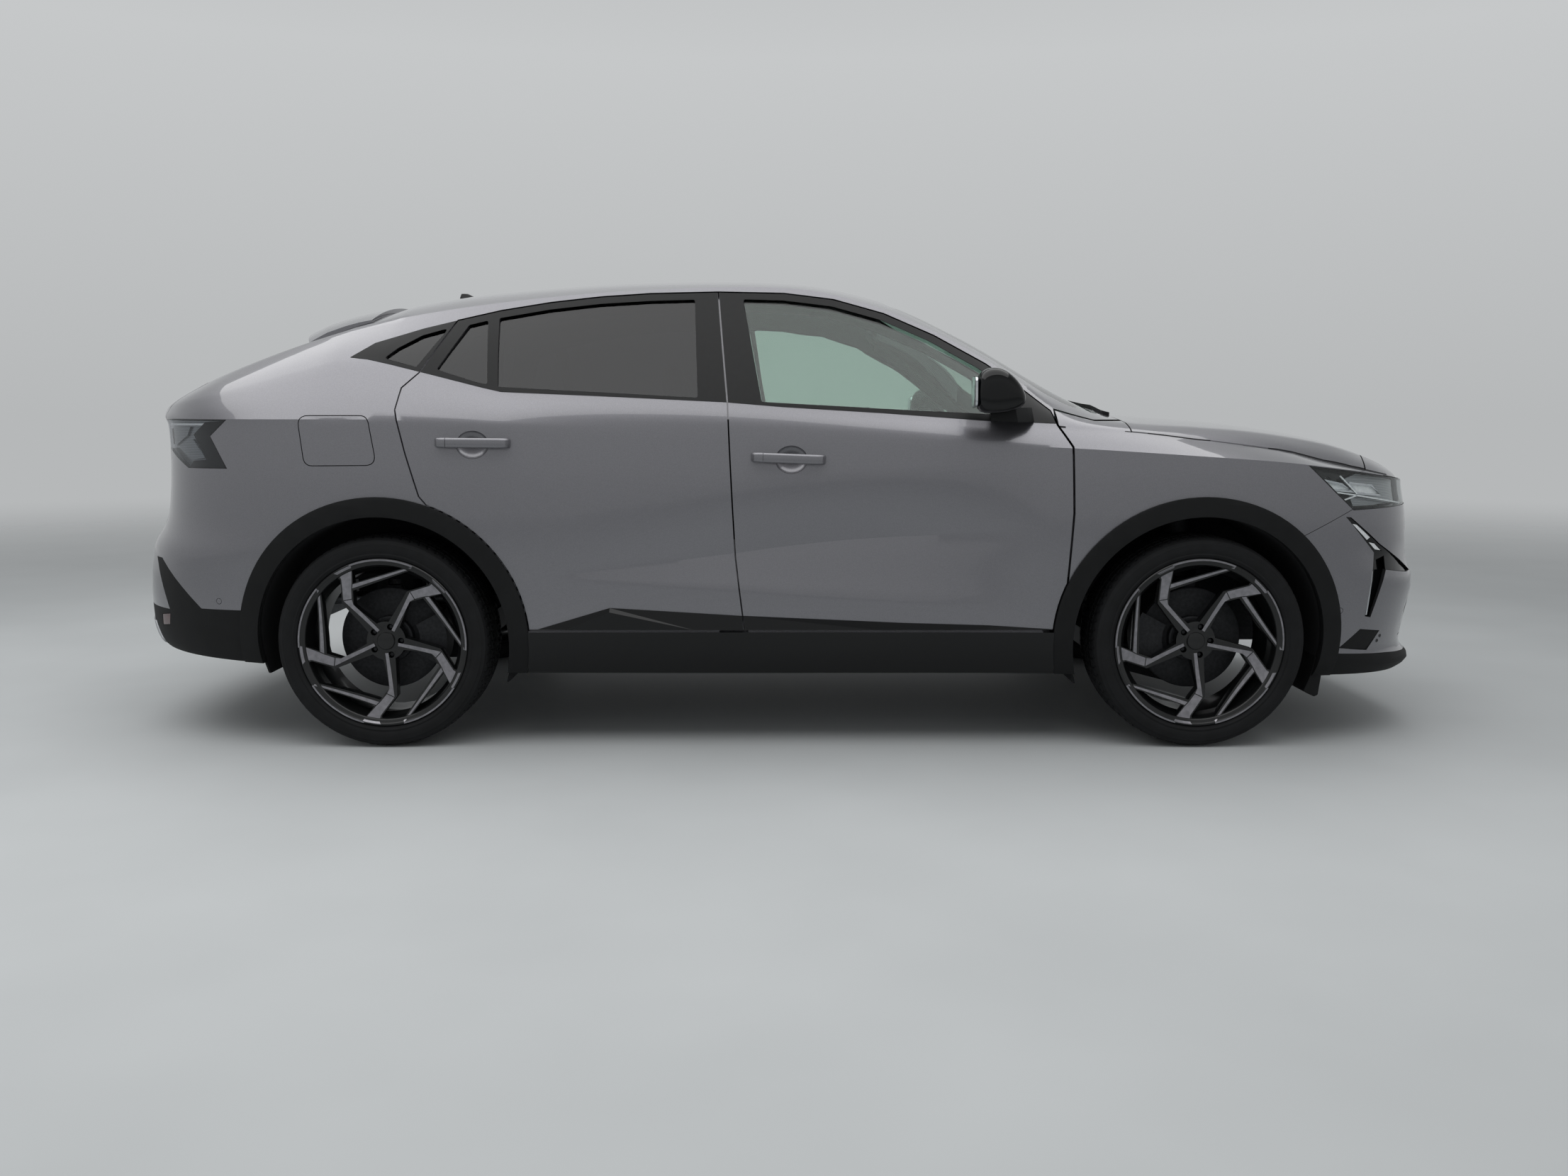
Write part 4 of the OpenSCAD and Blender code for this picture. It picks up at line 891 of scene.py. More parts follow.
def sensor_rings(obj, x, z):
    """Groove round a parking sensor, and the sensor's button left standing in it."""
    button = common(copied(obj), side_prism([circle(x, z, 9)]))
    cut(obj, side_prism([circle(x, z, 10.5)]))
    return button


def build_front_bumper():
    base = cut(body(0), body(14), block([-FAR, -FAR, -10], [1500, FAR, FAR]), across(FRONT_CUT))
    cut(base, prism([offset(HOOD, GAP)], "top", 860, FAR))
    cut(base, lamp_cut(HEADLAMP), lamp_cut(DRL), prism(GRILLE, "end", 1900, FAR))
    cut(base, *arch_drums(ARCH_R + ARCH_W))
    lip = common(copied(base), across(LOWER_FRONT))
    cut(base, across(offset(LOWER_FRONT, 0.8)))
    # A grained black insert in each lower corner, painted shade: a dark plate in a shallow recess that stands in for
    # the shade on the downward-facing facet there, with two small sensors beside it
    chin = [[1894, 330], [2013, 315], [2064, 380], [1974, 393]]
    cut(base, cut(side_prism([chin], 400), body(7)))
    # Dark grained plate as painted shade for the downward-facing corner facet
    shade_insert = common(cut(body(2), body(9)), side_prism([offset(chin, -1.5)], 400))
    button = sensor_rings(base, *SENSORS[0])
    dots = common(cut(body(-0.5), body(6)), side_prism([circle(2058, 344, 6), circle(2070, 360, 6)]))
    painted_piece(base, "front_bumper_cover", "body", ["front_bumper"], 9)
    painted_piece(button, "front_sensor_buttons", "body")
    finish_piece(dots, "front_corner_sensors", "body", [MATS["gloss"]])
    finish_piece(shade_insert, "front_corner_shade_inserts", "body", [MATS["plastic"]], angle=20)
    finish_piece(lip, "front_bumper_lip", "body", [MATS["plastic"]], angle=20)
    # The deflectors stay outside the round that the front tyres sweep as they steer
    spat = prism([[[1770, 300], [1770, 190], [1800, 172], [1826, 160], [1838, 166], [1846, 232], [1850, 300]]],
                 "side", 690, 846, both=True)
    bevelled(cut(spat, drum(FRONT_AXLE_X, 468, 1168, ARCH_R - 2)), 3, 2)
    finish_piece(spat, "front_wheel_deflectors", "body", [MATS["plastic"]])


def build_rear_bumper():
    base = cut(body(0), body(14), block([-FAR, -FAR, 714], [FAR, FAR, FAR]),
               block([-1500, -FAR, -10], [FAR, FAR, FAR]))
    cut(base, prism([offset(GATE, GAP)], "end", -FAR, -1500), *arch_drums(ARCH_R + ARCH_W))
    lower = common(copied(base), across(LOWER_REAR))
    cut(base, across(offset(LOWER_REAR, 0.8)))
    reflector = [[-2173, 385], [-2131, 392], [-2123, 431], [-2170, 423]]
    cut(lower, side_prism([offset(reflector, 2)], 560))
    button = sensor_rings(base, *SENSORS[1])
    painted_piece(base, "rear_bumper_cover", "body", ["rear_bumper"], 9)
    painted_piece(button, "rear_sensor_buttons", "body")
    finish_piece(lower, "rear_bumper_lower", "body", [MATS["plastic"]], angle=20)
    red = common(cut(body(1), body(12)), side_prism([reflector], 560))
    finish_piece(red, "rear_reflectors", "body", [MATS["red"]])
    skid = common(cut(body(-3), body(12)), prism([rounded([[-650, 312], [650, 312], [600, 388], [-600, 388]], 12)],
                                                 "end", -FAR, -1950))
    finish_piece(skid, "rear_skid_plate", "body", [MATS["silver"]], angle=20)


def build_arches():
    ring = body(-9)
    both = arch_drums(ARCH_R + ARCH_W)
    weld(both[0], both[1])
    common(ring, both[0])
    cut(ring, body(18, False), *arch_drums(ARCH_R))
    bevelled(ring, 3, 2, 50)
    finish_piece(ring, "arch_rings", "body", [MATS["plastic"]], ["arch_cladding"], 30)
    both = arch_drums(ARCH_R + 7)
    weld(both[0], both[1])
    liner = cut(common(body(10, False), both[0]), *arch_drums(ARCH_R))
    for x, y in ((FRONT_AXLE_X, 468), (REAR_AXLE_X, 640)):
        weld(liner, prism([arc(x, AXLE_Z, ARCH_R + 6, 28, 152, 30)], "side", y, y + 6, both=True))
    finish_piece(liner, "arch_liners", "body", [MATS["felt"]], angle=30)


def build_sills():
    sill = cut(body(0), body(WALL, False), block([-FAR, -FAR, 394], [FAR, FAR, FAR]))
    flare = common(cut(body(-12), body(2)), side_prism([[[-900, 268], [940, 262], [940, 394], [-900, 394]]]))
    weld(sill, flare)
    cut(sill, *arch_drums(ARCH_R + ARCH_W))
    cut(sill, block([-FAR, -FAR, -10], [REAR_AXLE_X, FAR, FAR]), block([FRONT_AXLE_X, -FAR, -10], [FAR, FAR, FAR]))
    finish_piece(sill, "sill_panels", "body", [MATS["gloss"]], ["sill_covers"], 25)


# Where the door handles sit: middle of the bar and of the bowl behind it, and the bar's slope
HANDLES = {"front": ([26, 974], [36, 971], -2.2), "rear": ([-1011, 1025], [-1012, 1020], -0.6)}


def bowl(x, z):
    """The rounded hollow behind a door handle, as a cutter."""
    bm = bmesh.new()
    bmesh.ops.create_uvsphere(bm, u_segments=56, v_segments=28, radius=1)
    mesh = bpy.data.meshes.new("bowl")
    bm.to_mesh(mesh)
    bm.free()
    y = float(side_y(x, z))
    mesh.transform(Matrix.Translation((x * MM, -(y + 5) * MM, z * MM)) @ Matrix.Diagonal((0.055, 0.027, 0.048, 1)))
    obj = bpy.data.objects.new("bowl", mesh)
    bpy.context.scene.collection.objects.link(obj)
    return obj


def door_panel(outline, holes, bowl_at):
    panel_outline = offset(outline, -GAP / 2)
    panel = common(body(0), right_prism([panel_outline]))
    cut(panel, body(DOOR_T, False))
    cut(panel, cut(body(SKIN), right_prism([offset(panel_outline, -FLANGE)])))
    cut(panel, right_prism(holes), *arch_drums(ARCH_R + ARCH_W + GAP))
    return cut(panel, bowl(*bowl_at))


def door_handle(x, z, slope):
    """A pull handle: a slim bar on two feet, with the lock's cap as a piece of its own at its back end."""
    outer = [[-124, -8], [-124, 4], [-121, 17], [-112, 28], [-92, 34], [-40, 37], [40, 37], [92, 34], [112, 28],
             [121, 17], [124, 4], [124, -8]]
    inner = [[94, -8], [92, 6], [82, 15], [40, 20], [-40, 20], [-82, 15], [-92, 6], [-94, -8]]
    y = float(side_y(x, z))
    bar = prism([[[x + u, -(y + w)] for u, w in outer + inner]], "top", z - 16.5, z + 16.5)
    bevelled(bar, 9, 4, 50)
    cut(bar, block([x - 84, -1100, z - 40], [x - 82.4, -y - 5, z + 40]))
    spin = Matrix.Translation((x * MM, 0, z * MM)) @ Matrix.Rotation(math.radians(-slope), 4, "Y") @ Matrix.Translation(
        (-x * MM, 0, -z * MM))
    bar.data.transform(spin)
    return bar


TRIMS = {
    "rear": ([[-846, 402, 2], [-814, 403, 3], [-571, 476, 2], [-129, 449, 2], [-124.5, 402.6, 15], [-290, 402.6, 15],
              [-571, 463, 14], [-720, 402.6, 9]],
             [(0, 7, 1), (1, 7, 6, 2), (6, 7, 5), (2, 6, 5), (2, 5, 4, 3)]),
    "front": ([[-124.5, 449, 2], [-119, 402.6, 15], [330, 402.6, 15], [414, 425, 2], [699, 417, 2], [699, 402.6, 7],
               [924, 403, 2]],
              [(0, 1, 2), (0, 2, 3), (3, 2, 5, 4), (4, 5, 6)]),
}


def door_cards(outline, end):
    """Trim on the inside of a right-hand door: a moulded card with an armrest."""
    low = [p for p in offset(outline, -FLANGE - 22)]
    card = common(cut(body(DOOR_T, False), body(DOOR_T + 5, False)), right_prism([low]),
                  block([-1400, -FAR, 420], [960, 0, 1090]))
    x0, x1 = (120, 560) if end == "front" else (-880, -420)
    y = float(side_y((x0 + x1) / 2, 760)) - DOOR_T - 4
    rest = prism([[[x0, -y - 3], [x1, -y - 3], [x1 - 40, -y + 46], [x0 + 20, -y + 50]]], "top", 740, 786)
    bevelled(rest, 12, 4)
    return card, rest


def build_doors():
    for end, outline, holes in (("front", FRONT_DOOR, [FRONT_WINDOW]), ("rear", REAR_DOOR, [REAR_WINDOW, REAR_VENT])):
        at, bowl_at, slope = HANDLES[end]
        right = door_panel(outline, [rounded(h, 8) for h in holes], bowl_at)
        handle = door_handle(*at, slope)
        points, faces = TRIMS[end]
        trim = cut(relief(points, faces), *arch_drums(ARCH_R + ARCH_W + GAP))
        card, rest = door_cards(outline, end)
        for side in ("right", "left"):
            door = f"door_{end}_{side}"
            panel, bar, low, inside, arm = (
                (o if side == "right" else mirrored(o, "left")) for o in (right, handle, trim, card, rest))
            if side == "right":
                copies = [copied(o) for o in (right, handle, trim, card, rest)]
            painted_piece(panel, door + "_panel", door, [door], 30)
            finish_piece(bar, door + "_handle", door, [MATS["paint"]], angle=30)
            finish_piece(low, door + "_lower_trim", door, [MATS["gloss"]], angle=4)
            finish_piece(inside, door + "_card", door, [MATS["lining"]], angle=30)
            finish_piece(arm, door + "_armrest", door, [MATS["plastic"]], angle=30)
            right, handle, trim, card, rest = copies
        for obj in copies:
            bpy.data.objects.remove(obj)


def build_tailgate():
    gate = common(body(0), prism([GATE], "end", -FAR, -1424))
    cut(gate, body(DOOR_T, False), prism([rounded(REAR_GLASS, 30)], "top", 1150, FAR))
    lamp = cut(side_prism([TAIL_LAMP]), block([-FAR, -360, 0], [FAR, 360, FAR]))
    cut(gate, cut(lamp, body(26, False)))
    # The recess over the bumper, with the handle's strip across its top
    recess = cut(prism([rounded([[-275, 742], [275, 742], [262, 868], [-262, 868]], 14)], "end", -FAR, -1900),
                 body(14, False))
    cut(gate, recess)
    painted_piece(gate, "tailgate_panel", "tailgate", ["tailgate"], 30)
    strip = common(cut(body(-2), body(13)), prism([rounded([[-262, 852], [262, 852], [262, 876], [-262, 876]], 6)],
                                                  "end", -FAR, -1900))
    finish_piece(strip, "tailgate_handle_strip", "tailgate", [MATS["gloss"]], angle=25)


def build_glass():
    shield = common(shell(6, 11, True), prism([offset(WINDSHIELD, -0.3)], "top", 1050, FAR))
    finish_piece(shield, "windshield_glass", "body", [MATS["glass"]], ["fixed_glass"])
    quarter = common(shell(6, 11, True), side_prism([offset(QUARTER_WINDOW, -0.3)]))
    finish_piece(quarter, "quarter_glass", "body", [MATS["tint"]])
    rear = common(shell(5, 10, True), prism([offset(REAR_GLASS, -0.3)], "top", 1150, FAR))
    finish_piece(rear, "tailgate_glass_pane", "tailgate", [MATS["tint"]], ["tailgate_glass"])
    for end, holes, mat, slot in (("front", [FRONT_WINDOW], "glass", "clear_glass"),
                                  ("rear", [REAR_WINDOW, REAR_VENT], "tint", "dark_glass")):
        right = common(shell(6, 11, True), right_prism([offset(h, -0.3) for h in holes]))
        left = mirrored(right, "glass")
        for obj, side in ((right, "right"), (left, "left")):
            finish_piece(obj, f"door_{end}_{side}_glass", f"door_{end}_{side}", [MATS[mat]],
                         [f"glass_{end}_{side}"])


# The black surround of the side windows, seen from the side
SURROUND = [[-1444, 1308], [-1373, 1358], [-1217, 1409], [-1105, 1437]] + TOP_REAR[1:] + TOP_FRONT[1:] + [
    [916, 1088], [675, 1098], [343, 1122], [11, 1142], [-184, 1158], [-597, 1178], [-928, 1192], [-994, 1207],
    [-1158, 1248], [-1305, 1284], [-1386, 1302]]


def build_surrounds():
    holes = [rounded(h, 8) for h in (FRONT_WINDOW, REAR_WINDOW, REAR_VENT)]
    layer = cut(body(-1.2), body(1))
    for end, outline in (("front", FRONT_DOOR), ("rear", REAR_DOOR)):
        strip = common(copied(layer), right_prism([offset(outline, -GAP / 2 - 0.2)]), right_prism([SURROUND]))
        cut(strip, right_prism(holes))
        left = mirrored(strip, "strip")
        for obj, side in ((strip, "right"), (left, "left")):
            finish_piece(obj, f"window_frame_{end}_{side}", f"door_{end}_{side}", [MATS["frame"]])
    strip = common(layer, side_prism([SURROUND]))
    cut(strip, side_prism([offset(BOTH_DOORS, GAP / 2)]), side_prism([rounded(QUARTER_WINDOW, 8)]))
    finish_piece(strip, "quarter_window_frames", "body", [MATS["frame"]])


MIRROR = [[660, 1118], [730, 1122], [778, 1138], [792, 1168], [770, 1216], [728, 1256], [690, 1270],
          [650, 1262], [628, 1236], [624, 1170], [632, 1130]]


def build_mirrors():
    rings = [(0.42, 920), (0.78, 928), (0.93, 946), (1, 975), (1, 1005), (0.94, 1030), (0.74, 1046), (0.4, 1050)]
    shell_ = loft([[[712 + (p[0] - 712) * k, -y, 1192 + (p[1] - 1192) * k] for p in MIRROR] for k, y in rings])
    subdivided(shell_, 2)
    foot = loft([[[a, -y, 1096], [b, -y, 1092], [b - 10, -y, 1140], [a + 8, -y, 1148]]
                 for y, a, b in ((838, 700, 800), (862, 697, 842), (905, 690, 818), (940, 684, 786), (965, 680, 770))])
    cut(foot, body(-0.4))
    bevelled(foot, 6, 3)
    glass = bevelled(prism([rounded([[-1036, 1142], [-938, 1136], [-932, 1240], [-1030, 1236]], 22)], "end", 621, 629), 2, 2)
    parts = (("housing", shell_, [MATS["gloss"]], ["mirror_{0}"]), ("foot", foot, [MATS["plastic"]], ()),
             ("glass", glass, [MATS["chrome"]], ()))
    for word, obj, mats, stands in parts:
        left = mirrored(obj, "left")
        for piece, side in ((obj, "right"), (left, "left")):
            finish_piece(piece, f"mirror_{word}_{side}", f"door_front_{side}", mats,
                         [s.format(side) for s in stands], 40)


def build_spoiler():
    profile = [[0, 8], [-60, -1], [-120, -14], [-200, -36], [-262, -62], [-279, -71], [-278, -76], [-268, -80],
               [-190, -86], [-100, -130], [0, -120]]
    rings = []
    for s in spread(-1, 1, 41):
        drop, back = 74 * abs(s) ** 2.4, 1 - 0.2 * abs(s) ** 5
        rings.append([[-1432 + p[0] * back, s * 566, 1512 + p[1] - drop] for p in profile])
    blade = cut(loft(rings), body(-0.3))

    def pick(centre, normal):
        return np.where(normal[:, 2] < -0.2, 1, 0)

    finish_piece(blade, "spoiler_blade", "tailgate", [MATS["paint"], MATS["plastic"]], ["spoiler"], 28, pick)


# Wheels. In wheel space z is 0 at the wheel's middle plane and points outboard, and y is up

def revolve(profile, steps, closed=True):
    """A ring from [r, z] points turned about z."""
    p = np.array(profile if signed_area(profile) > 0 else profile[::-1], float)
    n = len(p)
    a = np.arange(steps) * 2 * math.pi / steps
    verts = np.stack([np.outer(np.cos(a), p[:, 0]), np.outer(np.sin(a), p[:, 0]),
                      np.broadcast_to(p[:, 1], (steps, n))], axis=2).reshape(-1, 3)
    i, j = np.meshgrid(np.arange(steps), np.arange(n if closed else n - 1), indexing="ij")
    i2, j2 = (i + 1) % steps, (j + 1) % n
    faces = np.stack([i * n + j, i2 * n + j, i2 * n + j2, i * n + j2], axis=2).reshape(-1, 4)
    return verts, faces


def wheel_matrix(x, side):
    return (Matrix.Translation((x * MM, side * HUB_Y * MM, AXLE_Z * MM))
            @ Matrix.Rotation(math.pi if side > 0 else 0, 4, "Z") @ Matrix.Rotation(math.pi / 2, 4, "X"))


def tyre_profile():
    """Half of the tyre's section from bead to tread middle, as [r, z], with ribs on the sidewall and tread grooves."""
    half = [[268.5, 88], [268.5, 106], [284.6, 108.2], [287, 113.5], [291, 116.2], [294, 117.6], [296.5, 119.9],
            [299.5, 120.1], [302, 118.9], [306, 120.2], [311, 121.6], [318, 122.3], [324, 122.2], [330, 121.3],
            [333, 121.4], [335, 119.6], [338, 118.6], [343, 116.1], [345.4, 115.8], [348, 110.6], [351, 106.4],
            [353.6, 99.5], [355, 92]]
    tread = []
    z = 90.0
    for edge, width in ((66, 7), (22, 9)):
        tread += [[mix(355.2, 357.6, (92 - z) / 92), z], [357.2, edge + width / 2], [349.6, edge + width / 2 - 1],
                  [349.6, edge - width / 2 + 1], [357.8, edge - width / 2]]
        z = edge - width / 2 - 12
    tread += [[357.9, 8]]
    return half + tread


def build_tyres():
    half = tyre_profile()
    inner = [[300, 100], [336, 96], [346, 70]]
    profile = [[r, z] for r, z in half] + [[r, -z] for r, z in half[::-1]] + [[r, -z] for r, z in inner]
    profile += [[r, z] for r, z in inner[::-1]]
    steps = 432
    verts, faces = revolve(profile, steps)
    n = len(profile)
    ring = np.repeat(np.arange(steps), n)
    r, z = np.hypot(verts[:, 0], verts[:, 1]), verts[:, 2]
    # Cross grooves of the tread: six steps to a block, slanted, one step deep
    block_no = (ring + np.where(np.abs(z) > 62, 3, 0) + np.round(np.abs(z) / 20).astype(int)) % 6
    groove = (block_no == 0) & (r > 352.5) & (np.abs(z) > 13)
    depth = np.where(groove, np.where(np.abs(z) > 62, 5.2, 4.2), 0)
    scale = (r - depth) / r
    verts[:, 0] *= scale
    verts[:, 1] *= scale
    for x, end in ((FRONT_AXLE_X, "front"), (REAR_AXLE_X, "rear")):
        for side, word in ((1, "left"), (-1, "right")):
            tyre = new_object("tyre", verts, faces)
            tyre.data.transform(wheel_matrix(x, side))
            finish_piece(tyre, f"tyre_{end}_{word}_moulding", f"wheel_{end}_{word}", [MATS["rubber"]],
                         [f"tyre_{end}_{word}"], angle=35)


# One spoke's casting seen from outboard, and the bright facets turned on its face and on the rim's lip
SPOKE = [[-44, 12], [-138, 130], [-136, 212], [-157, 232], [-150, 242], [-92, 270], [-97, 199], [112, 262], [118, 250],
         [-99, 174], [-101, 122], [-12, 44]]
FACETS = [[[-152, 234], [-139, 229], [-132, 213], [-133, 141], [-106, 146], [-104, 180], [-101, 197], [-94, 262],
           [-110, 255.5], [-130, 246]],
          [[-132, 138], [-29, 30], [-21, 37], [-102, 126], [-105.5, 143]],
          [[-98, 195.5], [-100.5, 182], [107, 251], [106, 256]]]
LIP_ARC = [67, 111]


def turned(points, angle):
    c, s = math.cos(math.radians(angle)), math.sin(math.radians(angle))
    return [[p[0] * c - p[1] * s, p[0] * s + p[1] * c] for p in points]


# Height of the wheel's face over its middle plane, at radii from the hub to the lip
FACE = [[0, 72], [58, 72], [110, 76], [190, 88], [262, 106], [276, 116.9]]


def build_rims():
    dish = new_object("dish", *revolve([[0.01, 30]] + [[max(r, 0.01), z] for r, z in FACE] + [
        [276, 96], [262, 78], [190, 50], [110, 40], [58, 30]], 180))
    layer = new_object("layer", *revolve([[max(r, 0.01), z + 0.5] for r, z in FACE] + [[283, 117.4], [283, 115.9]] + [
        [max(r, 0.01), z - 1] for r, z in FACE[::-1]], 180))
    arcs = [math.radians(mix(*LIP_ARC, k / 12)) for k in range(13)]
    lip = [[282.5 * math.cos(a), 282.5 * math.sin(a)] for a in arcs] + [
        [277 * math.cos(a), 277 * math.sin(a)] for a in arcs[::-1]]
    facets = prism([turned(f, 72 * k) for k in range(5) for f in FACETS + [lip]], "top", -10, 130)
    common(facets, layer)
    spokes = prism([SPOKE], "top", -10, 130)
    for k in range(1, 5):
        weld(spokes, prism([turned(SPOKE, 72 * k)], "top", -10, 130))
    weld(spokes, prism([[[66 * math.cos(math.radians(a)), 66 * math.sin(math.radians(a))] for a in range(0, 360, 5)]],
                       "top", 26, 71))
    common(spokes, dish)
    for k in range(5):
        hole = [[11 * math.cos(math.radians(a)), 50 + 11 * math.sin(math.radians(a))] for a in range(0, 360, 15)]
        cut(spokes, prism([turned(hole, 72 * k + 54)], "top", 46, 100))
    bevel = spokes.modifiers.new("edge", "BEVEL")
    bevel.width = 0.0016
    bevel.segments = 2
    bevel.limit_method = "ANGLE"
    bevel.angle_limit = math.radians(40)
    apply_mods(spokes)
    barrel = new_object("barrel", *revolve([[276, 117], [281, 117.2], [284, 115], [284, 108], [268, 107.4], [268, 84],
                                            [250, 70], [250, -72], [268, -84], [268, -107.4], [284, -108],
                                            [284, -115], [274, -117], [258, -96], [243, -70], [243, 66], [252, 78],
                                            [256, 84], [258, 100], [261, 108], [264, 111], [271, 113]], 144))
    disc = new_object("disc", *revolve([[80, 2], [168, 2], [172, 0], [172, -8], [166, -9], [166, -14], [172, -15],
                                        [172, -22], [168, -24], [40, -24], [40, -62], [4, -64], [4, 27],
                                        [72, 27], [77, 24], [78, 4]], 120))
    cap = new_object("cap", *revolve([[0.01, 60], [0.01, 79.5], [24, 79], [28, 77.6], [30, 75], [30, 60]], 72))
    nuts = []
    for k in range(5):
        a = math.radians(72 * k + 144)
        nut = new_object("nut", *revolve([[0.01, 47], [0.01, 63], [6, 63], [8.6, 61], [8.6, 47]], 6))
        nut.data.transform(Matrix.Translation((50 * math.cos(a) * MM, 50 * math.sin(a) * MM, 0)))
        nuts.append(nut)
    parts = ((spokes, "spokes", "rim", 28), (facets, "spoke_facets", "rim", 28), (barrel, "barrel", "rim", 30), (disc, "brake_disc", "steel", 30),
             (cap, "hub_cap", "rim", 30), (nuts[0], "wheel_nuts", "steel", 30))
    bm = bmesh.new()
    for nut in nuts:
        bm.from_mesh(nut.data)
    bm.to_mesh(nuts[0].data)
    bm.free()
    for nut in nuts[1:]:
        bpy.data.objects.remove(nut)

    for obj, word, slot, angle in parts:
        mat = {"spoke_facets": "turned", "brake_disc": "dark_steel", "wheel_nuts": "dark_steel"}.get(word, "coat")
        for x, end in ((FRONT_AXLE_X, "front"), (REAR_AXLE_X, "rear")):
            for side, hand in ((1, "left"), (-1, "right")):
                copy = bpy.data.objects.new(word, obj.data.copy())
                bpy.context.scene.collection.objects.link(copy)
                copy.data.transform(wheel_matrix(x, side))
                finish_piece(copy, f"{word}_{end}_{hand}", f"wheel_{end}_{hand}", [MATS[mat]],
                             [f"rim_{end}_{hand}"] if word == "spokes" else (), angle)
        bpy.data.objects.remove(obj)


def build_lamps():
    # Head lamp: clear lens, its dark bowl, two bright modules and thin light guides
    head = common(cut(body(0.5), body(3.5)), lamp_cut(offset(HEADLAMP, -1.5)))
    finish_piece(head, "headlamp_lenses", "body", [MATS["lens"]], ["headlamps"], 20)
    back = common(cut(body(40), body(50)), lamp_cut(offset(HEADLAMP, -1)))
    rim = common(cut(body(2), body(44)), lamp_cut(HEADLAMP))
    cut(rim, lamp_cut(offset(HEADLAMP, -5)))
    finish_piece(weld(back, rim), "headlamp_housings", "body", [MATS["gloss"]])
    silver = common(cut(body(26), body(33)), lamp_cut([[1884, 902], [1934, 919], [2400, 862], [2400, 820], [1925, 812]]))
    finish_piece(silver, "headlamp_bowls", "body", [MATS["satin"]], angle=20)
    modules = joined([common(cut(body(13), body(25)), lamp_cut(m)) for m in HEADLAMP_MODULES])
    finish_piece(modules, "headlamp_modules", "body", [MATS["frosted"]], angle=20)
    blades = joined([common(cut(body(8), body(25)), lamp_cut(ribbon(m + m[:1], 7))) for m in HEADLAMP_MODULES])
    finish_piece(blades, "headlamp_bezels", "body", [MATS["chrome"]], angle=20)
    guides = joined([common(cut(body(7), body(14)), lamp_cut(ribbon(g, 4.5))) for g in HEADLAMP_GUIDES])
    finish_piece(guides, "headlamp_light_guides", "body", [MATS["frosted"]], angle=20)
    # Daytime lamp: a black blade with two bright segments, over a slot down the bumper's corner
    blade = common(cut(body(3), body(30)), lamp_cut(offset(DRL, -0.8)))
    cut(blade, cut(lamp_cut([[1990, 620], [2060, 640], [2070, 585], [2016, 425], [1980, 425]]), body(16)))
    cut(blade, *[lamp_cut(offset(s, 1.5)) for s in DRL_SEGMENTS])
    finish_piece(blade, "daytime_lamp_blades", "body", [MATS["gloss"]], angle=20)
    lit = joined([common(cut(body(4), body(16)), lamp_cut(s)) for s in DRL_SEGMENTS])
    finish_piece(lit, "daytime_lamp_segments", "body", [MATS["frosted"]], angle=20)
    edge = common(cut(body(5), body(16)), lamp_cut(ribbon(VENT_EDGE, 6)))
    finish_piece(edge, "corner_slot_edges", "body", [MATS["chrome"]], angle=20)

    # Tail lamps, the outer part on the body and the inner part on the tailgate
    chevron = [[-1932, 1092], [-1852, 1096], [-1917, 1045], [-1853, 942], [-2008, 941], [-1993, 962], [-1932, 966],
               [-1989, 1050]]
    window = [[-2093, 1008], [-1999, 1034], [-1941, 972], [-2002, 965]]
    line = [[-2400, 1084], [-1942, 1084]]
    gate = lambda: prism([GATE], "end", -FAR, -1424)
    for word, body_name, node, edge in (("tail_lamp", "body", "tail_lamps", None),
                                        ("tailgate_lamp", "tailgate", "tailgate_lamps", 360)):
        def fitted(obj, outline, body_name=body_name):
            space = side_prism([outline])
            if body_name == "tailgate":
                cut(space, block([-FAR, -360, 0], [FAR, 360, FAR]))
                return common(obj, space, gate())
            return cut(common(obj, space), prism([offset(GATE, GAP)], "end", -FAR, 0))
        lens = fitted(cut(body(0.5), body(3)), offset(TAIL_LAMP, -1.5))
        finish_piece(lens, word + "_lenses", body_name, [MATS["smoke"]], [node], 20)
        bed = fitted(cut(body(15), body(25)), offset(TAIL_LAMP, -0.5))
        rim = cut(fitted(cut(body(1), body(18)), TAIL_LAMP), side_prism([offset(TAIL_LAMP, -4)]))
        finish_piece(bed, word + "_bowls", body_name, [MATS["satin"]], angle=20)
        finish_piece(rim, word + "_housings", body_name, [MATS["gloss"]], angle=20)
        glow = fitted(cut(body(6), body(12)), ribbon(line, 7))
        finish_piece(glow, word + "_light_lines", body_name, [MATS["frosted"]], angle=20)
    pale = common(cut(body(9), body(15.5)), side_prism([window]))
    finish_piece(pale, "tail_lamp_reflectors", "body", [MATS["satin"]], angle=20)
    outer = common(cut(body(10), body(16)), side_prism([[[-2300, 1076], [-2010, 1076], [-2030, 1046], [-2110, 1010],
                                                         [-2300, 1012]]]))
    cut(outer, prism([offset(GATE, GAP)], "end", -FAR, 0))
    finish_piece(outer, "tail_lamp_upper_bowls", "body", [MATS["satin"]], angle=20)
    red = common(cut(body(8), body(16)), prism([GATE], "end", -FAR, -1424), side_prism([[[-2400, 1068], [-2180, 1068],
                                                                                      [-2180, 1012], [-2400, 1012]]]))
    cut(red, block([-FAR, -372, 0], [FAR, 372, FAR]))
    finish_piece(red, "tailgate_lamp_red_blocks", "tailgate", [MATS["red"]], angle=20)
    black = common(cut(body(4), body(10)), side_prism([chevron]))
    finish_piece(black, "tail_lamp_chevrons", "body", [MATS["gloss"]], angle=20)

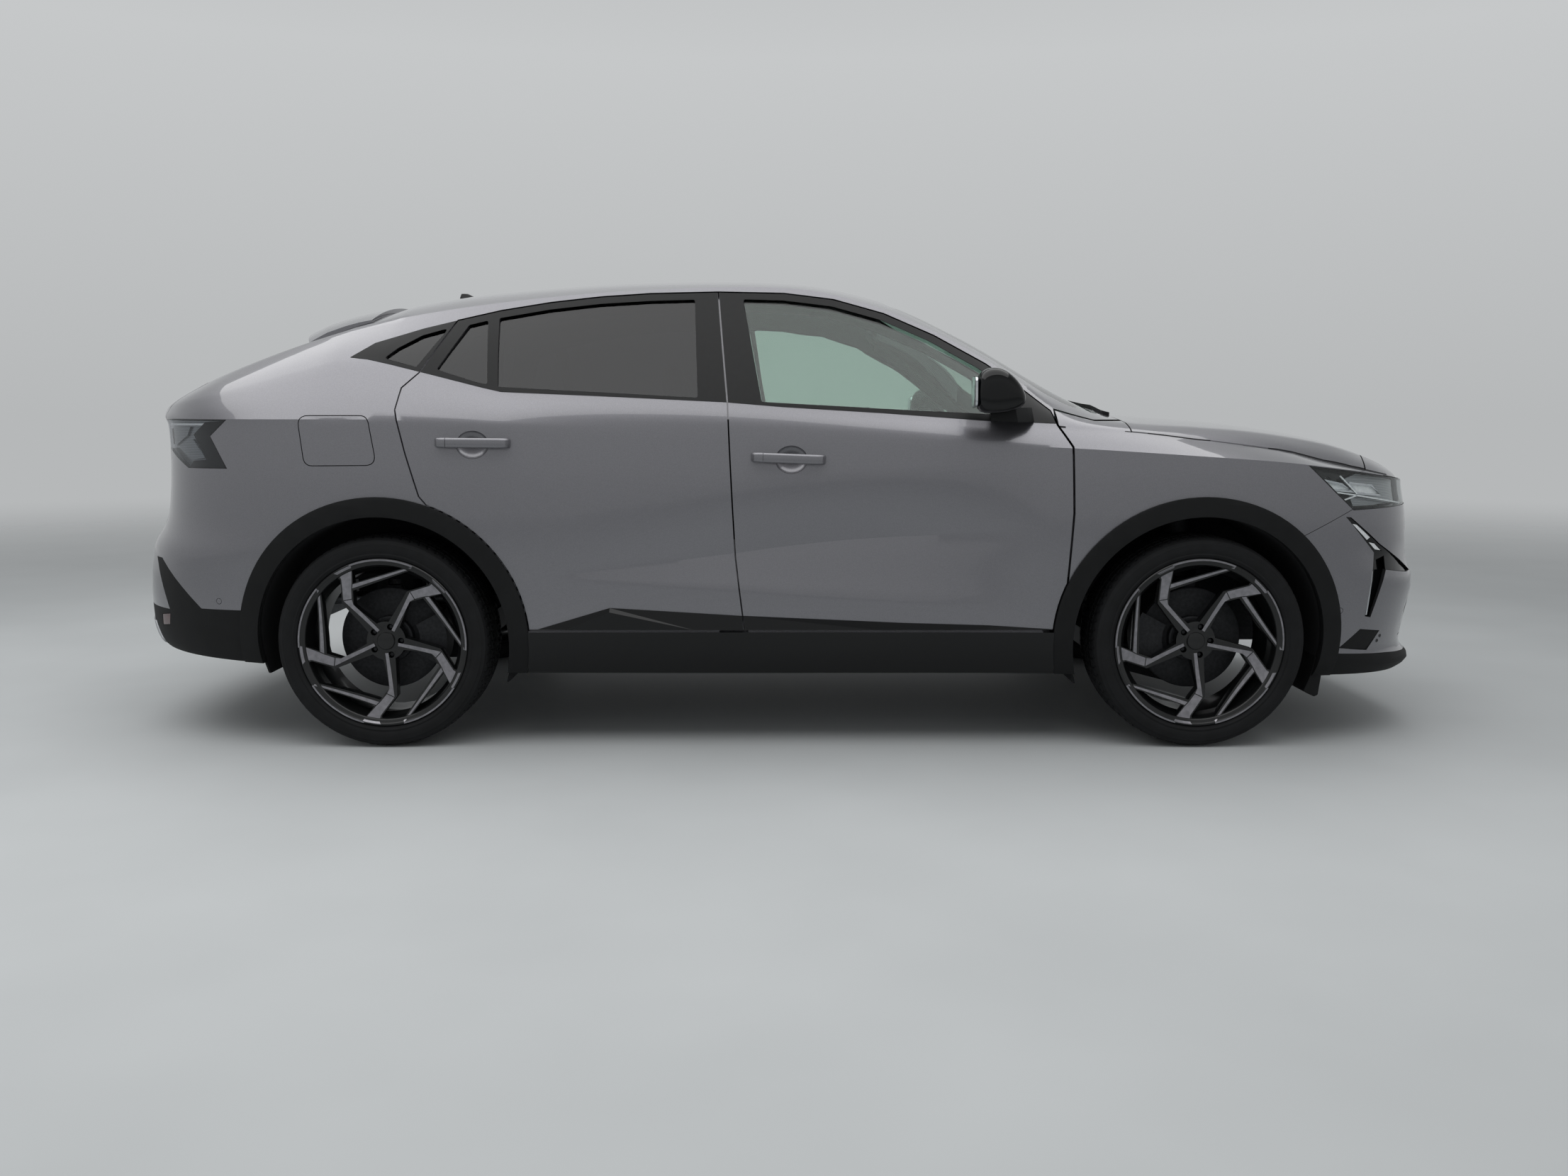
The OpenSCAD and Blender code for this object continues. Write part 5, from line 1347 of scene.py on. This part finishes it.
    mesh = common(cut(body(3), body(28, False)), prism(GRILLE, "end", 1900, FAR))
    for z in range(574, 780, 26):
        cut(mesh, block([1900, -600, z], [2500, 600, z + 15]))
    for z in range(352, 500, 28):
        cut(mesh, block([1900, -560, z], [2500, 560, z + 17]))
    finish_piece(mesh, "grille_bars", "body", [MATS["gloss"]], ["grille"])
    dark = common(cut(body(36), body(44, False)), prism([offset(g, 12) for g in GRILLE], "end", 1900, FAR))
    finish_piece(dark, "grille_backing", "body", [MATS["felt"]])


def build_flap():
    flap = common(shell(0, 8), right_prism([FLAP]))
    finish_piece(flap, "fuel_flap_panel", "fuel_flap", [MATS["paint"]], ["fuel_flap"], 20)


def dress_frame_nodes():
    """Materials for the frame's own pieces that show as they are."""
    dark = {"floor_pan": "lining", "front_rails": "dark_steel", "powertrain": "dark_steel", "exhaust": "steel",
            "dashboard": "plastic", "steering_wheel": "plastic", "wipers": "plastic",
            "front_suspension": "dark_steel", "rear_suspension": "dark_steel", "knuckle_left": "dark_steel",
            "knuckle_right": "dark_steel"}
    for node, key in dark.items():
        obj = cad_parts[node]
        obj.data.materials.clear()
        obj.data.materials.append(MATS[key])
        smooth(obj, 30)


# Seats

def pad(outline, y0, y1):
    """The rough form of a pad, from its outline seen from the side, in even small faces."""
    obj = bevelled(prism([rounded(outline, 40, 5)], "side", y0, y1), 26, 3, 50)
    mod = obj.modifiers.new("even", "REMESH")
    mod.mode = "VOXEL"
    mod.voxel_size = 0.014
    return apply_mods(obj)


def coordinates(mesh):
    out = np.empty(len(mesh.vertices) * 3)
    mesh.vertices.foreach_get("co", out)
    return out.reshape(-1, 3)


def blow_up(pads, cap=0.014):
    """Swells the covers as their foam does, with no point moved further than cap, in metres."""
    scene = bpy.context.scene
    before = [coordinates(obj.data) for obj in pads]
    for obj in pads:
        cover = obj.modifiers.new("cover", "CLOTH")
        cover.settings.use_pressure = True
        cover.settings.uniform_pressure_force = 4
        cover.settings.effector_weights.gravity = 0
        cover.point_cache.frame_start = 1
        cover.point_cache.frame_end = 20
    for frame_no in range(1, 21):
        scene.frame_set(frame_no)
    depsgraph = bpy.context.evaluated_depsgraph_get()
    after = [coordinates(obj.evaluated_get(depsgraph).data) for obj in pads]
    for obj, a, b in zip(pads, before, after):
        obj.modifiers.clear()
        move = b - a
        size = np.linalg.norm(move, axis=1, keepdims=True)
        obj.data.vertices.foreach_set("co", (a + move * np.minimum(1, cap / np.maximum(size, 1e-9))).ravel())
        obj.data.update()
    scene.frame_set(1)
    for obj in pads:
        subdivided(obj, 1)


def sew(obj, seams, depth=7.0, width=7.0):
    """Presses sewn channels into a pad. A seam is (axis, place, axis of its limits, low, high), in millimetres."""
    co = coordinates(obj.data) / MM
    normal = np.empty(len(co) * 3)
    obj.data.vertices.foreach_get("normal", normal)
    press = np.zeros(len(co))
    for axis, place, other, low, high in seams:
        near = np.exp(-((co[:, axis] - place) / width) ** 2)
        press = np.maximum(press, np.where((co[:, other] > low) & (co[:, other] < high), near, 0))
    obj.data.vertices.foreach_set("co", ((co - normal.reshape(-1, 3) * (press * depth)[:, None]) * MM).ravel())
    obj.data.update()


def build_seats():
    front, rear = [], []
    for y in (-370, 370):
        hand = "right" if y < 0 else "left"
        front += [(f"front_seat_cushion_{hand}", pad([[322, 556], [-170, 528], [-204, 580], [-150, 636], [296, 664],
                                                      [332, 634]], y - 238, y + 238),
                   [(1, y - 128, 0, -200, 330), (1, y + 128, 0, -200, 330), (0, 210, 1, y - 128, y + 128),
                    (0, 100, 1, y - 128, y + 128), (0, -10, 1, y - 128, y + 128)]),
                  (f"front_seat_back_{hand}", pad([[-196, 566], [-262, 584], [-408, 1078], [-388, 1108], [-330, 1106],
                                                   [-154, 652]], y - 234, y + 234),
                   [(1, y - 128, 2, 600, 1040), (1, y + 128, 2, 600, 1040), (2, 1040, 1, y - 190, y + 190),
                    (2, 930, 1, y - 128, y + 128), (2, 820, 1, y - 128, y + 128)]),
                  (f"front_head_rest_{hand}", pad([[-406, 1142], [-430, 1284], [-410, 1302], [-366, 1292], [-340, 1144]],
                                                  y - 118, y + 118), [(1, y - 84, 2, 1100, 1320), (1, y + 84, 2, 1100, 1320)])]
    for low, high, hand in ((-604, -6, "right"), (6, 604, "left")):
        mid = (low + high) / 2
        rear += [(f"rear_seat_cushion_{hand}", pad([[-566, 496], [-560, 606], [-602, 642], [-950, 626], [-1010, 560],
                                                    [-1046, 496]], low, high),
                  [(1, mid - 130, 0, -1000, -560), (1, mid + 130, 0, -1000, -560), (0, -700, 1, mid - 130, mid + 130),
                   (0, -820, 1, mid - 130, mid + 130)]),
                 (f"rear_seat_back_{hand}", pad([[-1010, 600], [-962, 646], [-1134, 1092], [-1198, 1104], [-1210, 1084],
                                                 [-1090, 566]], low, high),
                  [(1, mid - 130, 2, 640, 1050), (1, mid + 130, 2, 640, 1050), (2, 940, 1, mid - 130, mid + 130),
                   (2, 820, 1, mid - 130, mid + 130)])]
        rear.append((f"rear_head_rest_{hand}", pad([[-1212, 1122], [-1230, 1228], [-1214, 1246], [-1172, 1240],
                                                    [-1150, 1122]], mid - 110, mid + 110), []))
    blow_up([obj for name, obj, seams in front + rear])
    for group, node in ((front, "front_seats"), (rear, "rear_seat")):
        for i, (name, obj, seams) in enumerate(group):
            sew(obj, seams)
            finish_piece(obj, name, "body", [MATS["cloth"]], [node] if i == 0 else (), 180)
    posts, bases = [], []
    for y in (-370, 370):
        for dy in (-60, 60):
            posts.append(new_object("post", *revolve([[0.01, 0], [0.01, 60], [6, 60], [6, 0]], 16)))
            posts[-1].data.transform(Matrix.Translation((-0.365, (y + dy) * MM, 1.098)))
        bases.append(bevelled(prism([[[318, 450], [-200, 430], [-250, 470], [-268, 590], [-214, 590], [-180, 524],
                                      [322, 554]]], "side", y - 226, y + 226), 10, 3))
        for dy in (-190, 150):
            bases.append(bevelled(prism([[[300, 297], [-190, 297], [-160, 440], [290, 460]]], "side", y + dy, y + dy + 40), 4, 2))
    finish_piece(joined(posts), "head_rest_posts", "body", [MATS["chrome"]])
    finish_piece(joined(bases), "front_seat_bases", "body", [MATS["plastic"]])


def build_cabin():
    """Screens on the dashboard."""
    screens = [bevelled(prism([rounded([[232, 1012], [508, 1012], [504, 1082], [236, 1082]], 10)], "end", 664, 682), 3, 2),
               bevelled(prism([rounded([[-110, 948], [118, 948], [118, 1092], [-110, 1092]], 12)], "end", 606, 622), 3, 2)]
    mounts = [bevelled(prism([[[300, 990], [440, 990], [430, 1040], [310, 1040]]], "end", 676, 730), 4, 2),
              bevelled(prism([[[-50, 930], [58, 930], [58, 1010], [-50, 1010]]], "end", 618, 690), 4, 2)]
    finish_piece(joined(screens), "dash_screens", "body", [MATS["gloss"]])
    finish_piece(joined(mounts), "dash_screen_mounts", "body", [MATS["plastic"]])


# Stage

def build_stage(look):
    scene = bpy.context.scene
    scene.view_settings.view_transform = "Standard"
    ring = [[40000 * math.cos(math.radians(a)), 40000 * math.sin(math.radians(a)), 0] for a in range(0, 360, 5)]
    floor = new_object("floor", ring, [tuple(range(72))])
    # Painted studio floor that fades into the backdrop far from the car
    mat, tree, bsdf = material("painted_studio_floor", Roughness=0.6)
    co = object_coords(tree)
    haze = add_node(tree, "ShaderNodeTexNoise", {"Scale": 1.2, "Detail": 3.0}, Vector=co)
    tree.links.new(ramp(tree, haze.outputs["Fac"], [(0.3, look.floor), (0.7, look.floor_light)]),
                   bsdf.inputs["Base Color"])
    far = add_node(tree, "ShaderNodeVectorMath", {"operation": "LENGTH"}, i0=co)
    fade = add_node(tree, "ShaderNodeMapRange", {"interpolation_type": "SMOOTHSTEP", 1: 4.0, 2: 16.0}, i0=far.outputs["Value"])
    clear = add_node(tree, "ShaderNodeBsdfTransparent")
    blend = add_node(tree, "ShaderNodeMixShader", {}, i0=fade.outputs[0], i1=bsdf.outputs[0], i2=clear.outputs[0])
    tree.links.new(blend.outputs[0], tree.nodes["Material Output"].inputs["Surface"])
    floor.data.materials.append(mat)
    world = bpy.data.worlds.new("studio")
    scene.world = world
    world.use_nodes = True
    tree = world.node_tree
    # A soft pale room, the same for every ray: light walls under a greyer ceiling, which the softbox lights
    co = add_node(tree, "ShaderNodeTexCoord").outputs["Generated"]
    sep = add_node(tree, "ShaderNodeSeparateXYZ", {}, i0=co)
    sky = ramp(tree, sep.outputs["Z"], [(0.0, look.wall), (0.25, look.wall_light), (0.6, "#a4a6a7"), (1.0, "#8f9192")])
    tree.links.new(sky, tree.nodes["Background"].inputs["Color"])

    def area(name, where, aim, size, power):
        light = bpy.data.lights.new(name, "AREA")
        light.shape = "RECTANGLE"
        light.size, light.size_y = size
        light.energy = power
        obj = bpy.data.objects.new(name, light)
        scene.collection.objects.link(obj)
        obj.location = where
        obj.rotation_euler = (Vector(aim) - Vector(where)).to_track_quat("-Z", "Y").to_euler()
        obj.visible_camera = False

    area("overhead_softbox", (-1.0, -1.0, 4.2), (-1.0, -1.0, 0.6), (8.4, 6.4), look.light)

    camera = bpy.data.cameras.new("camera")
    camera.sensor_width = 36.0
    camera.lens = 30.17
    camera.clip_end = 200
    obj = bpy.data.objects.new("camera", camera)
    scene.collection.objects.link(obj)
    obj.location = (0.0115, -5.2553, 1.114)
    obj.rotation_euler = (math.radians(90 - 7.48), 0, 0)
    scene.camera = obj


# The add-on's settings, operators and panel

def colour_text(name, description, default):
    return bpy.props.StringProperty(name=name, description=description, default=default)


class CarLook(bpy.types.PropertyGroup):
    """Colours and light that a user would change."""
    paint_dark: colour_text("Paint, dark flakes", "Darker colour in the metallic paint, as sRGB hex", "#66666a")
    paint_light: colour_text("Paint, light flakes", "Lighter colour in the metallic paint, as sRGB hex", "#88878c")
    floor: colour_text("Floor", "Colour of the studio floor, as sRGB hex", "#b4b7b8")
    floor_light: colour_text("Floor, light", "Lighter patches of the floor, as sRGB hex", "#babdbe")
    wall: colour_text("Wall", "Colour of the room's walls at eye level, as sRGB hex", "#b6b8b9")
    wall_light: colour_text("Wall, high", "Colour of the walls higher up, as sRGB hex", "#c6c8c9")
    light: bpy.props.FloatProperty(name="Light", description="Power of the overhead softbox", default=280.0, min=5,
                                   max=800, unit="POWER")


OPERATORS = []


def operator(idname, label, doc, work):
    """An operator class that runs one building function with the scene's settings."""
    def execute(self, context):
        work(context.scene.car_look)
        return {"FINISHED"}

    cls = type("CAR_OT_" + idname, (bpy.types.Operator,),
               {"bl_idname": "car." + idname, "bl_label": label, "__doc__": doc, "execute": execute})
    OPERATORS.append(cls)
    return cls


operator("stage", "Stage and light", "Lays the floor and sets the lights and the camera", build_stage)
operator("materials", "Materials", "Makes every material", make_materials)
operator("frame_nodes", "Frame pieces", "Gives the frame's own pieces their materials", lambda s: dress_frame_nodes())
operator("body_side", "Body sides and roof", "Builds the roof, pillars and rear quarters", lambda s: build_body_side())
operator("fenders", "Fenders", "Builds the front fenders", lambda s: build_fenders())
operator("hood", "Hood", "Builds the hood", lambda s: build_hood())
operator("front_bumper", "Front bumper", "Builds the front bumper cover", lambda s: build_front_bumper())
operator("rear_bumper", "Rear bumper", "Builds the rear bumper cover", lambda s: build_rear_bumper())
operator("arches", "Wheel arch rings", "Builds the plastic rings round the wheel arches", lambda s: build_arches())
operator("sills", "Sills", "Builds the sill panels", lambda s: build_sills())
operator("doors", "Doors", "Builds the four doors", lambda s: build_doors())
operator("tailgate", "Tailgate", "Builds the tailgate", lambda s: build_tailgate())
operator("spoiler", "Roof spoiler", "Builds the blade over the rear window", lambda s: build_spoiler())
operator("mirrors", "Mirrors", "Builds the two outside mirrors", lambda s: build_mirrors())
operator("roof_fin", "Aerial fin", "Builds the aerial fin on the roof", lambda s: build_roof_fin())
operator("glass", "Glass", "Builds all the panes", lambda s: build_glass())
operator("surrounds", "Window surrounds", "Builds the black frames of the side windows", lambda s: build_surrounds())
operator("lamps", "Lamps and grille", "Builds the lamps and the grille", lambda s: build_lamps())
operator("flap", "Fuel flap", "Builds the fuel flap", lambda s: build_flap())
operator("tyres", "Tyres", "Builds the four tyres", lambda s: build_tyres())
operator("rims", "Rims and brakes", "Builds the rims, discs and wheel nuts", lambda s: build_rims())
operator("cabin", "Cabin", "Builds the dashboard's screens", lambda s: build_cabin())
operator("seats", "Seats", "Builds the padded seats", lambda s: build_seats())


class CAR_PT_parts(bpy.types.Panel):
    """Lists the car's pieces in the sidebar."""
    bl_label = "Car"
    bl_idname = "CAR_PT_parts"
    bl_space_type = "VIEW_3D"
    bl_region_type = "UI"
    bl_category = "Car"

    def draw(self, context):
        for name in CarLook.__annotations__:
            self.layout.prop(context.scene.car_look, name)
        for cls in OPERATORS:
            self.layout.operator(cls.bl_idname)


def register():
    bpy.utils.register_class(CarLook)
    for cls in OPERATORS + [CAR_PT_parts]:
        bpy.utils.register_class(cls)
    bpy.types.Scene.car_look = bpy.props.PointerProperty(type=CarLook)


def unregister():
    del bpy.types.Scene.car_look
    for cls in OPERATORS[::-1] + [CAR_PT_parts, CarLook]:
        bpy.utils.unregister_class(cls)


def main():
    register()
    for cls in OPERATORS:
        getattr(bpy.ops.car, cls.bl_idname.split(".")[1])()


if __name__ == "__main__":
    main()
